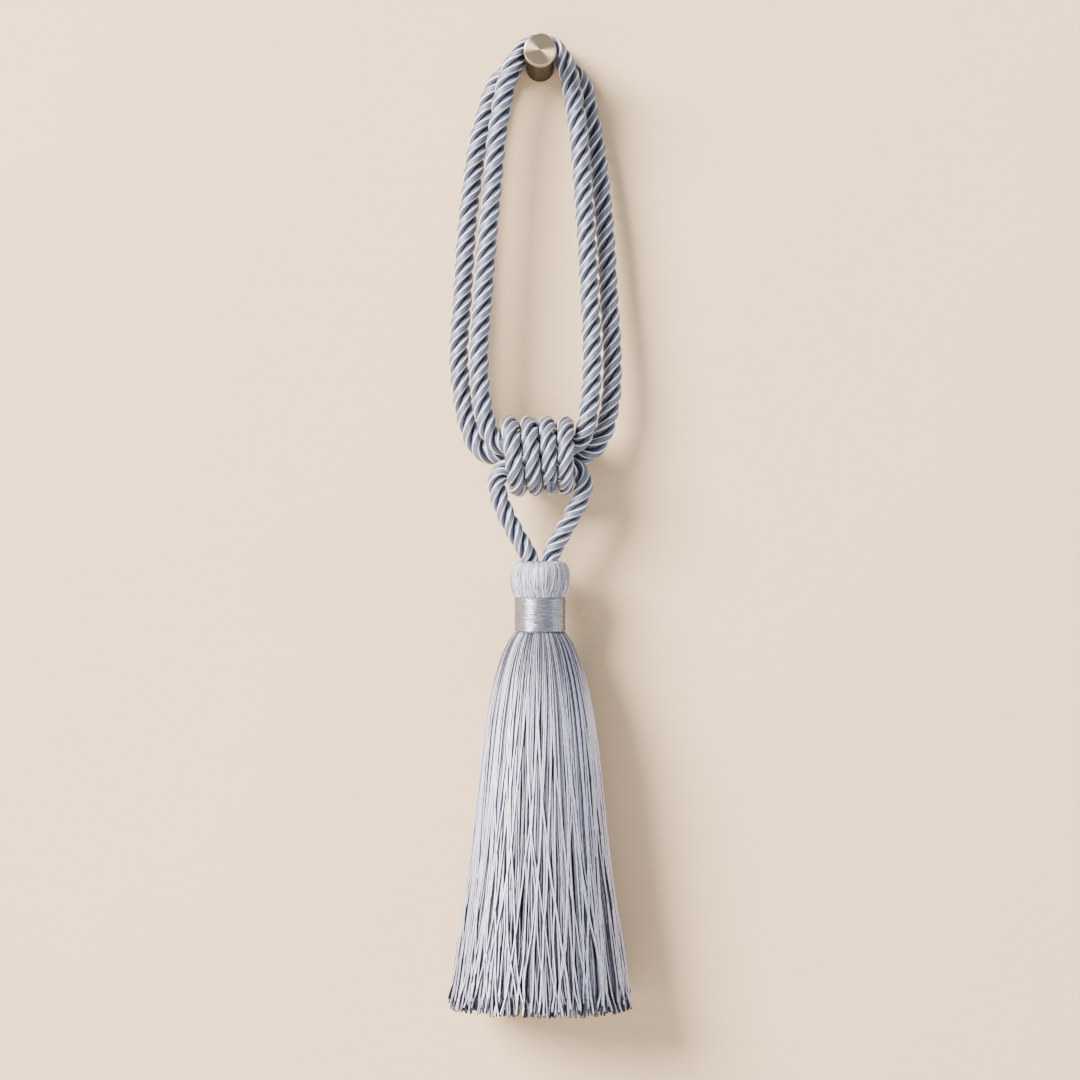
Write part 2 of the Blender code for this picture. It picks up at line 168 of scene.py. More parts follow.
def makeCamera():
    camera = bpy.data.objects.new("photoCamera", bpy.data.cameras.new("photoCamera"))
    bpy.context.scene.collection.objects.link(camera)
    camera.data.lens = roomLook["lens"]
    camera.data.sensor_width = 36.0
    camera.data.clip_start = 0.01
    camera.data.clip_end = 50.0
    camera.location = (0.0, -roomLook["cameraBack"], roomLook["cameraHeight"])
    camera.rotation_euler = (math.radians(90.0), 0.0, 0.0)
    bpy.context.scene.camera = camera


def makeWallMaterial():
    # painted plaster with a faint slanting brush mark, see-through from behind
    material, tree, shader = newMaterial("paintedWall", {"Roughness": 0.85})
    place = addNode(tree, "ShaderNodeTexCoord")
    slant = addNode(tree, "ShaderNodeMapping", None,
                    {"Vector": place.outputs["Object"], "Scale": roomLook["brushScale"],
                     "Rotation": (0.0, math.radians(roomLook["brushLean"]), 0.0)})
    brush = addNode(tree, "ShaderNodeTexNoise", None,
                    {"Vector": slant.outputs[0], "Scale": 1.0, "Detail": 4.0, "Roughness": 0.6})
    cloud = addNode(tree, "ShaderNodeTexNoise", None,
                    {"Vector": place.outputs["Object"], "Scale": roomLook["cloudScale"], "Detail": 2.0})
    tone = mapRange(tree, cloud.outputs["Fac"], 0.3, 0.7, *roomLook["cloudTones"])
    grey = addNode(tree, "ShaderNodeCombineColor", None, {"Red": tone, "Green": tone, "Blue": tone})
    colour = mixColour(tree, 1.0, (*roomLook["wallColour"], 1.0), grey.outputs[0], "MULTIPLY")
    tree.links.new(colour, shader.inputs["Base Color"])
    addBump(tree, shader, brush.outputs["Fac"], roomLook["brushBump"], roomLook["brushDepth"])
    clear = addNode(tree, "ShaderNodeBsdfTransparent")
    side = addNode(tree, "ShaderNodeNewGeometry")
    mix = addNode(tree, "ShaderNodeMixShader", None, {"Fac": side.outputs["Backfacing"]})
    tree.links.new(shader.outputs["BSDF"], mix.inputs[1])
    tree.links.new(clear.outputs["BSDF"], mix.inputs[2])
    tree.links.new(mix.outputs["Shader"], tree.nodes["Material Output"].inputs["Surface"])
    return material


def addLamp(name, colour):
    light = bpy.data.lights.new(name + "Light", "AREA")
    light.shape = "DISK"
    light.size = roomLook[name + "Size"]
    light.energy = roomLook[name + "Power"]
    light.color = colour
    lamp = bpy.data.objects.new(name + "Light", light)
    bpy.context.scene.collection.objects.link(lamp)
    lamp.location = roomLook[name + "Place"]
    target = Vector((0.0, 0.0, roomLook["cameraHeight"]))
    lamp.rotation_euler = (target - lamp.location).to_track_quat("-Z", "Y").to_euler()


def makeRoom():
    paint = makeWallMaterial()
    floorLook = {"Base Color": (*roomLook["floorColour"], 1.0), "Roughness": 0.8}
    floorPaint = newMaterial("paleFloor", floorLook)[0]
    gap = roomLook["wallGap"]
    low = roomLook["floorDrop"]
    wide = roomLook["wallWide"]
    wallCorners = [(-wide, gap, low), (wide, gap, low), (wide, gap, wide), (-wide, gap, wide)]
    floorCorners = [(-wide, -2 * wide, low), (wide, -2 * wide, low), (wide, gap, low), (-wide, gap, low)]
    wall = meshObject("wallStage", wallCorners, [(0, 1, 2, 3)], paint, False)
    floor = meshObject("floorStage", floorCorners, [(0, 1, 2, 3)], floorPaint, False)
    addLamp("key", roomLook["keyColour"])
    addLamp("fill", roomLook["skyColour"])
    sky = bpy.data.worlds.new("softSky")
    sky.use_nodes = True
    backdrop = sky.node_tree.nodes["Background"]
    backdrop.inputs["Color"].default_value = (*roomLook["skyColour"], 1.0)
    backdrop.inputs["Strength"].default_value = roomLook["skyStrength"]
    bpy.context.scene.world = sky


makeCamera()
makeRoom()
print("stage: camera, wall and light")


# satin yarn: bundles of filaments that run along a strand
filamentSizes = {
    "waver": 0.09,  # how far a bundle wanders sideways, in turns, and how fast along the strand
    "waverScale": 0.9,
    "bundlePower": 0.6,  # below 1 gives fuller bundles with narrow grooves
    "fineRange": (0.36, 0.64),
    # the painted highlight along the strands' edges: its full width, its breakup by noise, and the real ridge
    # under it
    "rimFull": 0.45,
    "stripeBreakRange": (0.3, 0.6),
    "stripeBreakTone": 0.6,
    "rimHeight": 0.5,
    "grooveShade": 0.4,
    "fineTone": 0.6,
    "glossSpread": 0.14,
}


def makeFilamentGroup():
    tree = bpy.data.node_groups.new("satinFilaments", "ShaderNodeTree")
    for name, kind, value in (("Across", "NodeSocketFloat", 0.0), ("Along", "NodeSocketFloat", 0.0),
                              ("Bundles", "NodeSocketFloat", 7.0), ("Filaments", "NodeSocketFloat", 30.0),
                              ("Slant", "NodeSocketFloat", 0.0), ("Run", "NodeSocketFloat", 2.0),
                              ("Bundle Depth", "NodeSocketFloat", 0.6), ("Shade", "NodeSocketFloat", 1.0),
                              ("Falloff", "NodeSocketFloat", 1.0),
                              ("Gloss", "NodeSocketFloat", 0.3), ("Rim", "NodeSocketFloat", 0.0),
                              ("Rim Place", "NodeSocketFloat", 0.285), ("Rim Width", "NodeSocketFloat", 0.10),
                              ("Rim Light", "NodeSocketColor", (0.8, 0.8, 0.8, 1.0)),
                              ("Light", "NodeSocketColor", (0.5, 0.5, 0.5, 1.0)),
                              ("Dark", "NodeSocketColor", (0.1, 0.1, 0.1, 1.0))):
        tree.interface.new_socket(name=name, in_out="INPUT", socket_type=kind).default_value = value
    for name, kind in (("Color", "NodeSocketColor"), ("Roughness", "NodeSocketFloat"),
                       ("Height", "NodeSocketFloat")):
        tree.interface.new_socket(name=name, in_out="OUTPUT", socket_type=kind)
    given = addNode(tree, "NodeGroupInput").outputs
    drift = addNode(tree, "ShaderNodeTexNoise", {"noise_dimensions": "1D"},
                    {"W": given["Along"], "Scale": filamentSizes["waverScale"]})
    lean = mathOf(tree, "SUBTRACT", drift.outputs[0], 0.5)
    straight = mathOf(tree, "MULTIPLY_ADD", lean, filamentSizes["waver"], given["Across"])
    across = mathOf(tree, "MULTIPLY_ADD", given["Along"], given["Slant"], straight)
    turns = mathOf(tree, "MULTIPLY", mathOf(tree, "MULTIPLY", across, given["Bundles"]), math.pi)
    wave = mathOf(tree, "ABSOLUTE", mathOf(tree, "SINE", turns))
    bundle = mathOf(tree, "POWER", wave, filamentSizes["bundlePower"])
    place = joinXyz(tree, mathOf(tree, "MULTIPLY", across, given["Filaments"]),
                    mathOf(tree, "MULTIPLY", given["Along"], given["Run"]))
    fine = addNode(tree, "ShaderNodeTexNoise", {"noise_dimensions": "2D"},
                   {"Vector": place, "Scale": 1.0, "Detail": 3.0, "Roughness": 0.62})
    lines = mapRange(tree, fine.outputs[0], *filamentSizes["fineRange"])
    body = addNode(tree, "ShaderNodeMix", {"data_type": "FLOAT"}, {"Factor": given["Bundle Depth"]})
    tree.links.new(lines, body.inputs[2])
    tree.links.new(bundle, body.inputs[3])
    # a painted highlight along both edges of the strand's outer face, broken up by the fine noise, over a
    # real raised ridge
    fromTop = mathOf(tree, "ABSOLUTE", mathOf(tree, "SUBTRACT", mathOf(tree, "FRACT", straight), 0.5))
    share = mathOf(tree, "MULTIPLY", fromTop, 2.0)
    aside = mathOf(tree, "ABSOLUTE", mathOf(tree, "SUBTRACT", share, given["Rim Place"]))
    aside = mathOf(tree, "DIVIDE", aside, given["Rim Width"])
    highlightStripe = mapRange(tree, aside, 1.0, filamentSizes["rimFull"], 0.0, 1.0, True)
    stripeBreakup = mapRange(tree, fine.outputs[0], *filamentSizes["stripeBreakRange"], filamentSizes["stripeBreakTone"], 1.0)
    highlightStripe = mathOf(tree, "MULTIPLY", mathOf(tree, "MULTIPLY", highlightStripe, given["Rim"]), stripeBreakup, clamp=True)
    height = mathOf(tree, "MULTIPLY_ADD", highlightStripe, filamentSizes["rimHeight"], body.outputs[0])
    # the fine lines are the yarn's own tone; the grooves between bundles are darkened as painted shade
    tone = mathOf(tree, "MULTIPLY", lines, filamentSizes["fineTone"])
    tone = mathOf(tree, "MULTIPLY_ADD", bundle, filamentSizes["grooveShade"], tone)
    colour = mixColour(tree, tone, given["Dark"], given["Light"])
    colour = mixColour(tree, highlightStripe, colour, given["Rim Light"])
    # Shade brings the painted shade stored on each piece, made steeper by Falloff
    depth = mathOf(tree, "POWER", given["Shade"], given["Falloff"])
    grey = addNode(tree, "ShaderNodeCombineColor", None, {"Red": depth, "Green": depth, "Blue": depth})
    colour = mixColour(tree, 1.0, colour, grey.outputs[0], "MULTIPLY")
    rough = mathOf(tree, "SUBTRACT", 1.0, lines)
    rough = mathOf(tree, "MULTIPLY_ADD", rough, filamentSizes["glossSpread"], given["Gloss"])
    result = addNode(tree, "NodeGroupOutput")
    for name, value in (("Color", colour), ("Roughness", rough), ("Height", height)):
        tree.links.new(value, result.inputs[name])
    return tree


filamentGroup = makeFilamentGroup()


def yarnMaterial(name, look, surface):
    material, tree, shader = newMaterial(name, surface)
    uv = addNode(tree, "ShaderNodeUVMap", {"uv_map": "yarnMap"})
    place = addNode(tree, "ShaderNodeSeparateXYZ", None, {"Vector": uv.outputs[0]})
    shade = addNode(tree, "ShaderNodeAttribute", {"attribute_name": "yarnShade"})
    group = addNode(tree, "ShaderNodeGroup", {"node_tree": filamentGroup})
    tree.links.new(place.outputs[0], group.inputs["Across"])
    tree.links.new(place.outputs[1], group.inputs["Along"])
    tree.links.new(shade.outputs["Fac"], group.inputs["Shade"])
    for socket, key in (("Bundles", "bundles"), ("Filaments", "filaments"), ("Slant", "slant"),
                        ("Run", "run"), ("Bundle Depth", "bundleDepth"), ("Gloss", "gloss"), ("Rim", "rim")):
        group.inputs[socket].default_value = look.get(key, 0.0)
    group.inputs["Falloff"].default_value = look.get("falloff", 1.0)
    group.inputs["Rim Light"].default_value = (*look.get("paintedHighlight", look["light"]), 1.0)
    group.inputs["Light"].default_value = (*look["light"], 1.0)
    group.inputs["Dark"].default_value = (*look["dark"], 1.0)
    tree.links.new(group.outputs["Color"], shader.inputs["Base Color"])
    tree.links.new(group.outputs["Roughness"], shader.inputs["Roughness"])
    if surface.get("Anisotropic"):
        # the shine spreads along the strand, as its filaments are twisted
        tangent = addNode(tree, "ShaderNodeTangent", {"direction_type": "UV_MAP", "uv_map": "yarnMap"})
        tree.links.new(tangent.outputs[0], shader.inputs["Tangent"])
    addBump(tree, shader, group.outputs["Height"], look["bump"], look["bumpDepth"] * mm)
    return material


# lengths along a strand are in centimetres, widths in turns round it, depths in millimetres
ropeLook = {
    # the rim colour is a painted highlight along the edges of each strand
    "light": (0.145, 0.157, 0.235), "dark": (0.042, 0.046, 0.078), "paintedHighlight": (0.88, 0.94, 1.0),
    "rim": 1.0, "bundles": 12.0, "filaments": 30.0, "slant": 0.06, "run": 1.2, "bundleDepth": 0.5,
    "gloss": 0.30, "bump": 0.6, "bumpDepth": 0.25,
}
ropeSurface = {
    "Metallic": 0.15, "Specular IOR Level": 1.0, "Specular Tint": (0.62, 0.74, 1.0, 1.0),
}
skirtLook = {
    "falloff": 2.3, "light": (0.79, 0.80, 1.0), "dark": (0.38, 0.40, 0.66), "bundles": 2.0,
    "filaments": 6.0, "slant": 1.2, "run": 3.0, "bundleDepth": 0.35, "gloss": 0.40, "bump": 0.2,
    "bumpDepth": 0.06,
}
skirtSurface = {
    "Metallic": 0.5, "Specular IOR Level": 1.0, "Specular Tint": (0.62, 0.68, 0.95, 1.0),
    "Anisotropic": 0.9, "Anisotropic Rotation": 0.25,
}
headLook = {
    "light": (0.86, 0.87, 1.0), "dark": (0.42, 0.44, 0.70), "bundles": 2.0, "filaments": 5.0,
    "slant": 2.0, "run": 5.0, "bundleDepth": 0.3, "gloss": 0.36, "bump": 0.9, "bumpDepth": 0.15,
}
headSurface = {
    "Metallic": 0.5, "Specular IOR Level": 1.0, "Specular Tint": (0.6, 0.68, 0.95, 1.0),
    "Anisotropic": 0.9, "Anisotropic Rotation": 0.25,
}
bandLook = {
    "light": (0.40, 0.43, 0.56), "dark": (0.11, 0.115, 0.155), "bundles": 2.0, "filaments": 4.0,
    "slant": 0.3, "run": 2.0, "bundleDepth": 0.1, "gloss": 0.22, "bump": 0.5, "bumpDepth": 0.05,
}
bandSurface = {
    "Metallic": 0.9, "Specular Tint": (0.6, 0.6, 0.7, 1.0),
}
ropeYarn = yarnMaterial("ropeSatin", ropeLook, ropeSurface)
skirtYarn = yarnMaterial("skirtSatin", skirtLook, skirtSurface)
headYarn = yarnMaterial("headSatin", headLook, headSurface)
bandThread = yarnMaterial("bandThread", bandLook, bandSurface)
print("stage: yarn materials")


# sizes and paths of the ropes, the same as in the solids (mm)
ropeSizes = {
    "radius": 4.95,
    "loopLay": 28.7,
    "wrapLay": 28.0,
    "cordLay": 27.0,
    "cordRadius": 4.6,
    "boundRadius": 4.5,
    "stemRadius": 7.15,
    "ropeToStem": 0.4,
    "step": 0.75,
    "fineStep": 0.5,
    "rowsPerTurn": 12,
    "strandSides": 18,
    "strandOut": 0.54,  # the strand's middle, its depth and its half width, as shares of the rope's radius
    "strandDeep": 0.46,
    "strandWide": 0.525,
    "strandFlat": 0.74,  # below 1 flattens the strand's outer face
    "slotShadeTone": 0.04,  # the slots between strands carry painted shade: dark up to slotDeep and clear from slotFlush
    "slotDeep": 0.42,
    "slotFlush": 0.78,
    "frontPhase": 20.0,
    "backPhase": 75.0,
    "wrapPhase": 0.0,
    "cordPhase": 40.0,
    "pressFrom": -14.0,
    "pressSpread": 0.55,
    "unevenness": 0.03,
    "unevenScale": 0.11,
    "unevenApart": 7.3,
    "coreLeft": -9.0,
    "coreRight": 7.0,
    "coreGap": 0.4,
}
wrapCentre = (-1.2, -21.2, -197.7)
wrapCoilRadius = 15.9
coreOffset = 5.8
coreGapX = -1.2
frontLoopKnobY = -17.9
backLoopKnobY = -5.9
frontLoopLeft = [
    # x, y, z, thickness as a share of the radius
    (-16.6, -24.1, -193.4, 0.90), (-21.2, -24.1, -191.8, 0.92), (-24.6, -24.1, -187.2, 0.96),
    (-27.3, -24.0, -179.0, 1.0), (-29.4, -23.8, -167.0, 1.0), (-30.3, -23.1, -149.8, 1.0),
    (-28.5, -21.7, -119.9, 1.0), (-24.4, -19.9, -69.8, 1.0), (-20.2, -18.4, -29.6, 1.0),
    (-16.4, -17.9, -10.4, 1.0),
]
frontLoopRight = [
    (15.2, -17.9, -10.4, 1.0), (18.4, -18.4, -29.6, 1.0), (21.9, -19.9, -69.8, 1.0),
    (24.9, -21.7, -119.9, 1.0), (25.9, -23.1, -149.8, 1.0), (25.2, -23.8, -168.0, 1.0),
    (23.6, -24.0, -179.0, 1.0), (21.4, -24.1, -187.4, 0.96), (18.2, -24.1, -191.8, 0.92),
    (13.8, -24.1, -193.4, 0.90),
]
backLoopLeft = [
    (-18.6, -15.4, -197.7, 0.90), (-24.0, -15.3, -197.2, 0.95), (-29.6, -15.1, -194.2, 1.0),
    (-35.0, -15.0, -184.6, 1.0), (-38.6, -14.8, -169.2, 1.0), (-40.6, -13.9, -149.1, 1.0),
    (-39.0, -12.2, -118.9, 1.0), (-35.2, -9.5, -68.4, 1.0), (-28.2, -7.2, -27.8, 1.0),
    (-20.4, -6.0, -7.4, 1.0),
]
backLoopRight = [
    (20.0, -6.0, -7.4, 1.0), (25.4, -7.2, -27.8, 1.0), (31.2, -9.5, -68.4, 1.0),
    (34.6, -12.2, -118.9, 1.0), (36.1, -13.9, -149.1, 1.0), (35.0, -14.8, -172.0, 1.0),
    (31.2, -15.0, -186.6, 1.0), (26.0, -15.2, -194.4, 1.0), (21.0, -15.3, -197.2, 0.95),
    (15.6, -15.4, -197.7, 0.90),
]
frontLoopOverKnob = [
    # angle round the knob in degrees, thickness
    (176.0, 0.92), (152.0, 0.72), (124.0, 0.64), (90.0, 0.62), (56.0, 0.64), (28.0, 0.74), (4.0, 0.92),
]
backLoopOverKnob = [
    (176.0, 0.98), (152.0, 0.80), (124.0, 0.72), (90.0, 0.70), (56.0, 0.72), (28.0, 0.84), (4.0, 0.98),
]
hangingCordLeft = [
    # x, z
    (-5.2, -252.0), (-5.6, -247.6), (-10.2, -239.3), (-16.9, -226.9), (-20.4, -217.6), (-21.5, -211.0),
    (-19.4, -205.4), (-13.6, -202.7),
]
hangingCordRight = [
    (13.6, -202.7), (19.6, -205.2), (21.7, -210.8), (19.9, -219.4), (14.8, -229.4), (8.8, -240.3),
    (5.4, -247.6), (5.2, -252.0),
]
wrapTurns = [
    # turns round the loop, x, the rope's own radius
    (-0.3, -18.1, 4.5), (0.0, -15.5, 4.6), (0.5, -10.8, 4.45), (1.0, -6.2, 4.5), (1.5, -2.1, 4.0),
    (2.0, 3.1, 4.5), (2.5, 5.6, 3.45), (3.0, 12.6, 4.55), (3.5, 12.8, 3.5), (3.56, 12.8, 3.4),
]


def tangentAt(before, here, after, spanBefore, spanAfter, atEnd):
    if atEnd:
        return (after - here) / spanAfter if before == here else (here - before) / spanBefore
    slopeBefore = (here - before) / spanBefore
    slopeAfter = (after - here) / spanAfter
    return (slopeBefore * spanAfter + slopeAfter * spanBefore) / (spanBefore + spanAfter)


def smoothRows(rows, step):
    # a smooth curve through the rows, then rows of even spacing along it
    fine = []
    for index in range(len(rows) - 1):
        before, start = rows[max(index - 1, 0)], rows[index]
        end, after = rows[index + 1], rows[min(index + 2, len(rows) - 1)]
        span = (Vector(end[:3]) - Vector(start[:3])).length
        spanBefore = max((Vector(start[:3]) - Vector(before[:3])).length, 1e-6)
        spanAfter = max((Vector(after[:3]) - Vector(end[:3])).length, 1e-6)
        pieces = max(4, int(span / ropeSizes["fineStep"]))
        for piece in range(pieces):
            t = piece / pieces
            row = []
            for a, b, c, d in zip(before, start, end, after):
                slopeIn = tangentAt(a, b, c, spanBefore, span, before is start) * span
                slopeOut = tangentAt(b, c, d, span, spanAfter, after is end) * span
                row.append(b * (2 * t ** 3 - 3 * t * t + 1) + slopeIn * (t ** 3 - 2 * t * t + t)
                           + c * (3 * t * t - 2 * t ** 3) + slopeOut * (t ** 3 - t * t))
            fine.append(row)
    fine.append(list(rows[-1]))
    lengths = [0.0]
    for a, b in zip(fine, fine[1:]):
        lengths.append(lengths[-1] + (Vector(b[:3]) - Vector(a[:3])).length)
    total = lengths[-1]
    count = max(2, round(total / step))
    result, place = [], 0
    for index in range(count + 1):
        target = total * index / count
        while place < len(fine) - 2 and lengths[place + 1] < target:
            place += 1
        share = (target - lengths[place]) / max(lengths[place + 1] - lengths[place], 1e-9)
        share = min(max(share, 0.0), 1.0)
        result.append([a + (b - a) * share for a, b in zip(fine[place], fine[place + 1])])
    return result, total


def overKnob(table, y):
    rows = []
    for angle, thickness in table:
        distance = ropeSizes["stemRadius"] + ropeSizes["ropeToStem"] + ropeSizes["radius"] * thickness
        turned = math.radians(angle)
        rows.append((distance * math.cos(turned), y, distance * math.sin(turned), thickness))
    return rows


def loopRows(left, knob, right, coreY, coreZ):
    squeezed = ropeSizes["boundRadius"] / ropeSizes["radius"]
    gap = ropeSizes["coreGap"]
    rows = [(coreGapX - gap, coreY, coreZ, squeezed), (ropeSizes["coreLeft"], coreY, coreZ, squeezed)]
    rows += list(left) + knob + list(right)
    rows += [(ropeSizes["coreRight"], coreY, coreZ, squeezed), (coreGapX + gap, coreY, coreZ, squeezed)]
    return [(x, y, z, ropeSizes["radius"], thickness) for x, y, z, thickness in rows]


def wrapRows():
    rows = []
    first, last = wrapTurns[0][0], wrapTurns[-1][0]
    count = int((last - first) * ropeSizes["rowsPerTurn"])
    for index in range(count + 1):
        turn = first + (last - first) * index / count
        for low, high in zip(wrapTurns, wrapTurns[1:]):
            if turn <= high[0] or high is wrapTurns[-1]:
                share = min(max((turn - low[0]) / (high[0] - low[0]), 0.0), 1.0)
                x = low[1] + (high[1] - low[1]) * share
                radius = low[2] + (high[2] - low[2]) * share
                break
        angle = 2 * math.pi * turn
        rows.append((x, wrapCentre[1] - wrapCoilRadius * math.sin(angle),
                     wrapCentre[2] + wrapCoilRadius * math.cos(angle), radius, 1.0))
    return rows


def cordRows():
    y = wrapCentre[1] - coreOffset / 2
    coreZ = wrapCentre[2] - coreOffset * math.sqrt(0.75)
    rows = [(x, y, z, ropeSizes["cordRadius"], 1.0) for x, z in hangingCordLeft]
    rows.append((0.0, y, coreZ, ropeSizes["boundRadius"], 1.0))
    rows += [(x, y, z, ropeSizes["cordRadius"], 1.0) for x, z in hangingCordRight]
    return rows


# rope of three strands, pressed flatter where it goes over the knob
def smoothStep(low, high, value):
    t = min(max((value - low) / (high - low), 0.0), 1.0)
    return t * t * (3 - 2 * t)


def addMaps(piece, maps, shades):
    layer = piece.data.uv_layers.new(name="yarnMap")
    layer.data.foreach_set("uv", [number for pair in maps for number in pair])
    tone = piece.data.attributes.new("yarnShade", "FLOAT", "POINT")
    tone.data.foreach_set("value", shades)


def facesOut(piece, weld=False):
    work = bmesh.new()
    work.from_mesh(piece.data)
    if weld:
        bmesh.ops.remove_doubles(work, verts=work.verts, dist=1e-6)
    bmesh.ops.recalc_face_normals(work, faces=work.faces)
    work.to_mesh(piece.data)
    work.free()


def strandSection():
    points = []
    for side in range(ropeSizes["strandSides"]):
        angle = math.pi + 2 * math.pi * side / ropeSizes["strandSides"]  # the seam is inside the rope
        deep, wide = math.cos(angle), math.sin(angle)
        if deep > 0.0:
            deep = deep ** ropeSizes["strandFlat"]
            wide = math.copysign(abs(wide) ** ropeSizes["strandFlat"], wide)
        points.append((ropeSizes["strandOut"] + ropeSizes["strandDeep"] * deep,
                       ropeSizes["strandWide"] * wide))
    return points


def ropeFrames(centres):
    frames, normal = [], Vector((0.0, -1.0, 0.0))
    for index in range(len(centres)):
        tangent = (centres[min(index + 1, len(centres) - 1)] - centres[max(index - 1, 0)]).normalized()
        normal = (normal - tangent * normal.dot(tangent)).normalized()
        frames.append((tangent, normal.copy(), tangent.cross(normal)))
    return frames


def ropeRing(ring, frame, turn, wobble, pressed):
    # one strand's section at one place of the rope, in mm from the rope's middle
    tangent, normal, side = frame
    thickness = ring[4]
    spread = min(1.0 / max(thickness, 0.1), 1.0 + (1.0 - thickness) * ropeSizes["pressSpread"])
    out = normal * math.cos(turn) + side * math.sin(turn)
    across = side * math.cos(turn) - normal * math.sin(turn)
    offsets = []
    for radial, wide in strandSection():
        offset = (out * radial + across * wide * wobble) * ring[3]
        if pressed:
            press = Vector((ring[0], 0.0, ring[2]))
            press = (press - tangent * press.dot(tangent)).normalized()
            inwards = press * offset.dot(press)
            offset = inwards * thickness + (offset - inwards) * spread
        else:
            offset = offset * thickness
        offsets.append(offset)
    return offsets


def makeRope(name, rows, lay, phase, material, crossesKnob=False):
    rings, total = smoothRows(rows, ropeSizes["step"])
    step = total / (len(rings) - 1)
    centres = [Vector(ring[:3]) for ring in rings]
    frames = ropeFrames(centres)
    sides = ropeSizes["strandSides"]
    # painted shade: each strand's section darkens towards the slots between strands
    tones = []
    for point in strandSection():
        lit = smoothStep(ropeSizes["slotDeep"], ropeSizes["slotFlush"], math.hypot(*point))
        tones.append(ropeSizes["slotShadeTone"] + (1.0 - ropeSizes["slotShadeTone"]) * lit)
    verts, faces, shades, maps = [], [], [], []
    for strand in range(3):
        first = len(verts)
        for index, ring in enumerate(rings):
            turn = math.radians(phase) + 2 * math.pi * (step * index / lay + strand / 3)
            spot = Vector((index * step * ropeSizes["unevenScale"], strand * ropeSizes["unevenApart"], phase))
            wobble = 1.0 + ropeSizes["unevenness"] * noise.noise(spot)
            pressed = crossesKnob and ring[2] > ropeSizes["pressFrom"]
            for offset in ropeRing(ring, frames[index], turn, wobble, pressed):
                verts.append((centres[index] + offset) * mm)
            shades.extend(tones)
        for index in range(len(rings) - 1):
            low = first + index * sides
            v0, v1 = step * index * inCm, step * (index + 1) * inCm
            for corner in range(sides):
                following = (corner + 1) % sides
                faces.append((low + corner, low + following, low + sides + following, low + sides + corner))
                u0, u1 = corner / sides + strand, (corner + 1) / sides + strand
                maps.extend(((u0, v0), (u1, v0), (u1, v1), (u0, v1)))
        for atEnd, start in ((False, first), (True, first + (len(rings) - 1) * sides)):
            middle = len(verts)
            verts.append(sum((Vector(verts[start + corner]) for corner in range(sides)), Vector()) / sides)
            # the middle of each cut end gets half a tone of painted shade
            shades.append(0.5)
            for corner in range(sides):
                following = (corner + 1) % sides
                pair = (start + corner, start + following) if atEnd else (start + following, start + corner)
                faces.append((*pair, middle))
                maps.extend(((0.0, 0.0), (0.1, 0.0), (0.05, 0.1)))
    piece = meshObject(name, verts, faces, material)
    addMaps(piece, maps, shades)
    facesOut(piece)
    return piece, [tuple(centre * mm) for centre in centres], total * mm


frontCore = (wrapCentre[1] - coreOffset / 2, wrapCentre[2] + coreOffset * math.sqrt(0.75))
backCore = (wrapCentre[1] + coreOffset, wrapCentre[2])
frontRows = loopRows(frontLoopLeft, overKnob(frontLoopOverKnob, frontLoopKnobY), frontLoopRight, *frontCore)
backRows = loopRows(backLoopLeft, overKnob(backLoopOverKnob, backLoopKnobY), backLoopRight, *backCore)
ropes = {}
for name, rows, lay, phase, crossesKnob in (
        ("loopRopeFront", frontRows, ropeSizes["loopLay"], ropeSizes["frontPhase"], True),
        ("loopRopeBack", backRows, ropeSizes["loopLay"], ropeSizes["backPhase"], True),
        ("wrapRope", wrapRows(), ropeSizes["wrapLay"], ropeSizes["wrapPhase"], False),
        ("hangingCord", cordRows(), ropeSizes["cordLay"], ropeSizes["cordPhase"], False)):
    ropes[name] = makeRope(name, rows, lay, phase, ropeYarn, crossesKnob)
print("stage: ropes", {name: round(entry[2], 3) for name, entry in ropes.items()})


# threads and strands by geometry nodes: each hangs down a shape from its root to its tip
headProfile = [
    # radius, z from the dimple round the shoulder to the roots of the skirt
    (0.0, -254.2), (6.0, -253.4), (9.0, -252.6), (10.2, -251.7), (11.2, -251.3), (12.1, -252.2),
    (13.0, -254.4), (13.55, -257.6), (13.2, -261.3), (12.4, -264.9), (11.9, -267.3), (11.8, -267.9),
    (11.8, -286.4), (0.0, -287.0),
]
tasselAxis = (0.0, -24.0)
headShape = [
    # share of the thread, half width, half depth, middle y, z
    (0.0, 3.0, 3.0, -24.0, -250.6), (0.12, 6.6, 6.6, -24.0, -249.9), (0.24, 9.6, 9.6, -24.0, -249.8),
    (0.34, 11.7, 11.7, -24.0, -250.3), (0.43, 13.1, 13.1, -24.0, -251.6), (0.52, 14.0, 14.0, -24.0, -253.9),
    (0.66, 14.4, 14.4, -24.0, -257.4), (0.80, 14.0, 14.0, -24.0, -261.6), (0.92, 13.0, 13.0, -24.0, -265.3),
    (1.0, 12.1, 12.1, -24.0, -267.7),
]
skirtRows = [
    # z, half width, half depth, middle y
    (-285.0, 11.9, 11.9, -24.0), (-289.0, 14.9, 14.0, -24.0), (-298.9, 19.2, 17.0, -24.2),
    (-308.8, 22.1, 18.8, -24.5), (-328.7, 25.8, 21.0, -25.0), (-358.5, 29.4, 22.8, -25.7),
    (-398.2, 33.4, 24.2, -26.4), (-438.0, 38.9, 25.6, -27.0), (-470.0, 43.3, 26.4, -27.6),
]
skirtTop, skirtTip = skirtRows[0][0], skirtRows[-1][0]
skirtShape = [((skirtTop - z) / (skirtTop - skirtTip), wide, deep, y, z) for z, wide, deep, y in skirtRows]
frayShape = [
    # the cut end of the wrap's rope, between its last two turns
    (0.0, 1.5, 0.7, -36.9, -210.5), (0.5, 1.9, 0.9, -36.2, -213.2), (1.0, 2.4, 1.2, -34.9, -215.6),
]
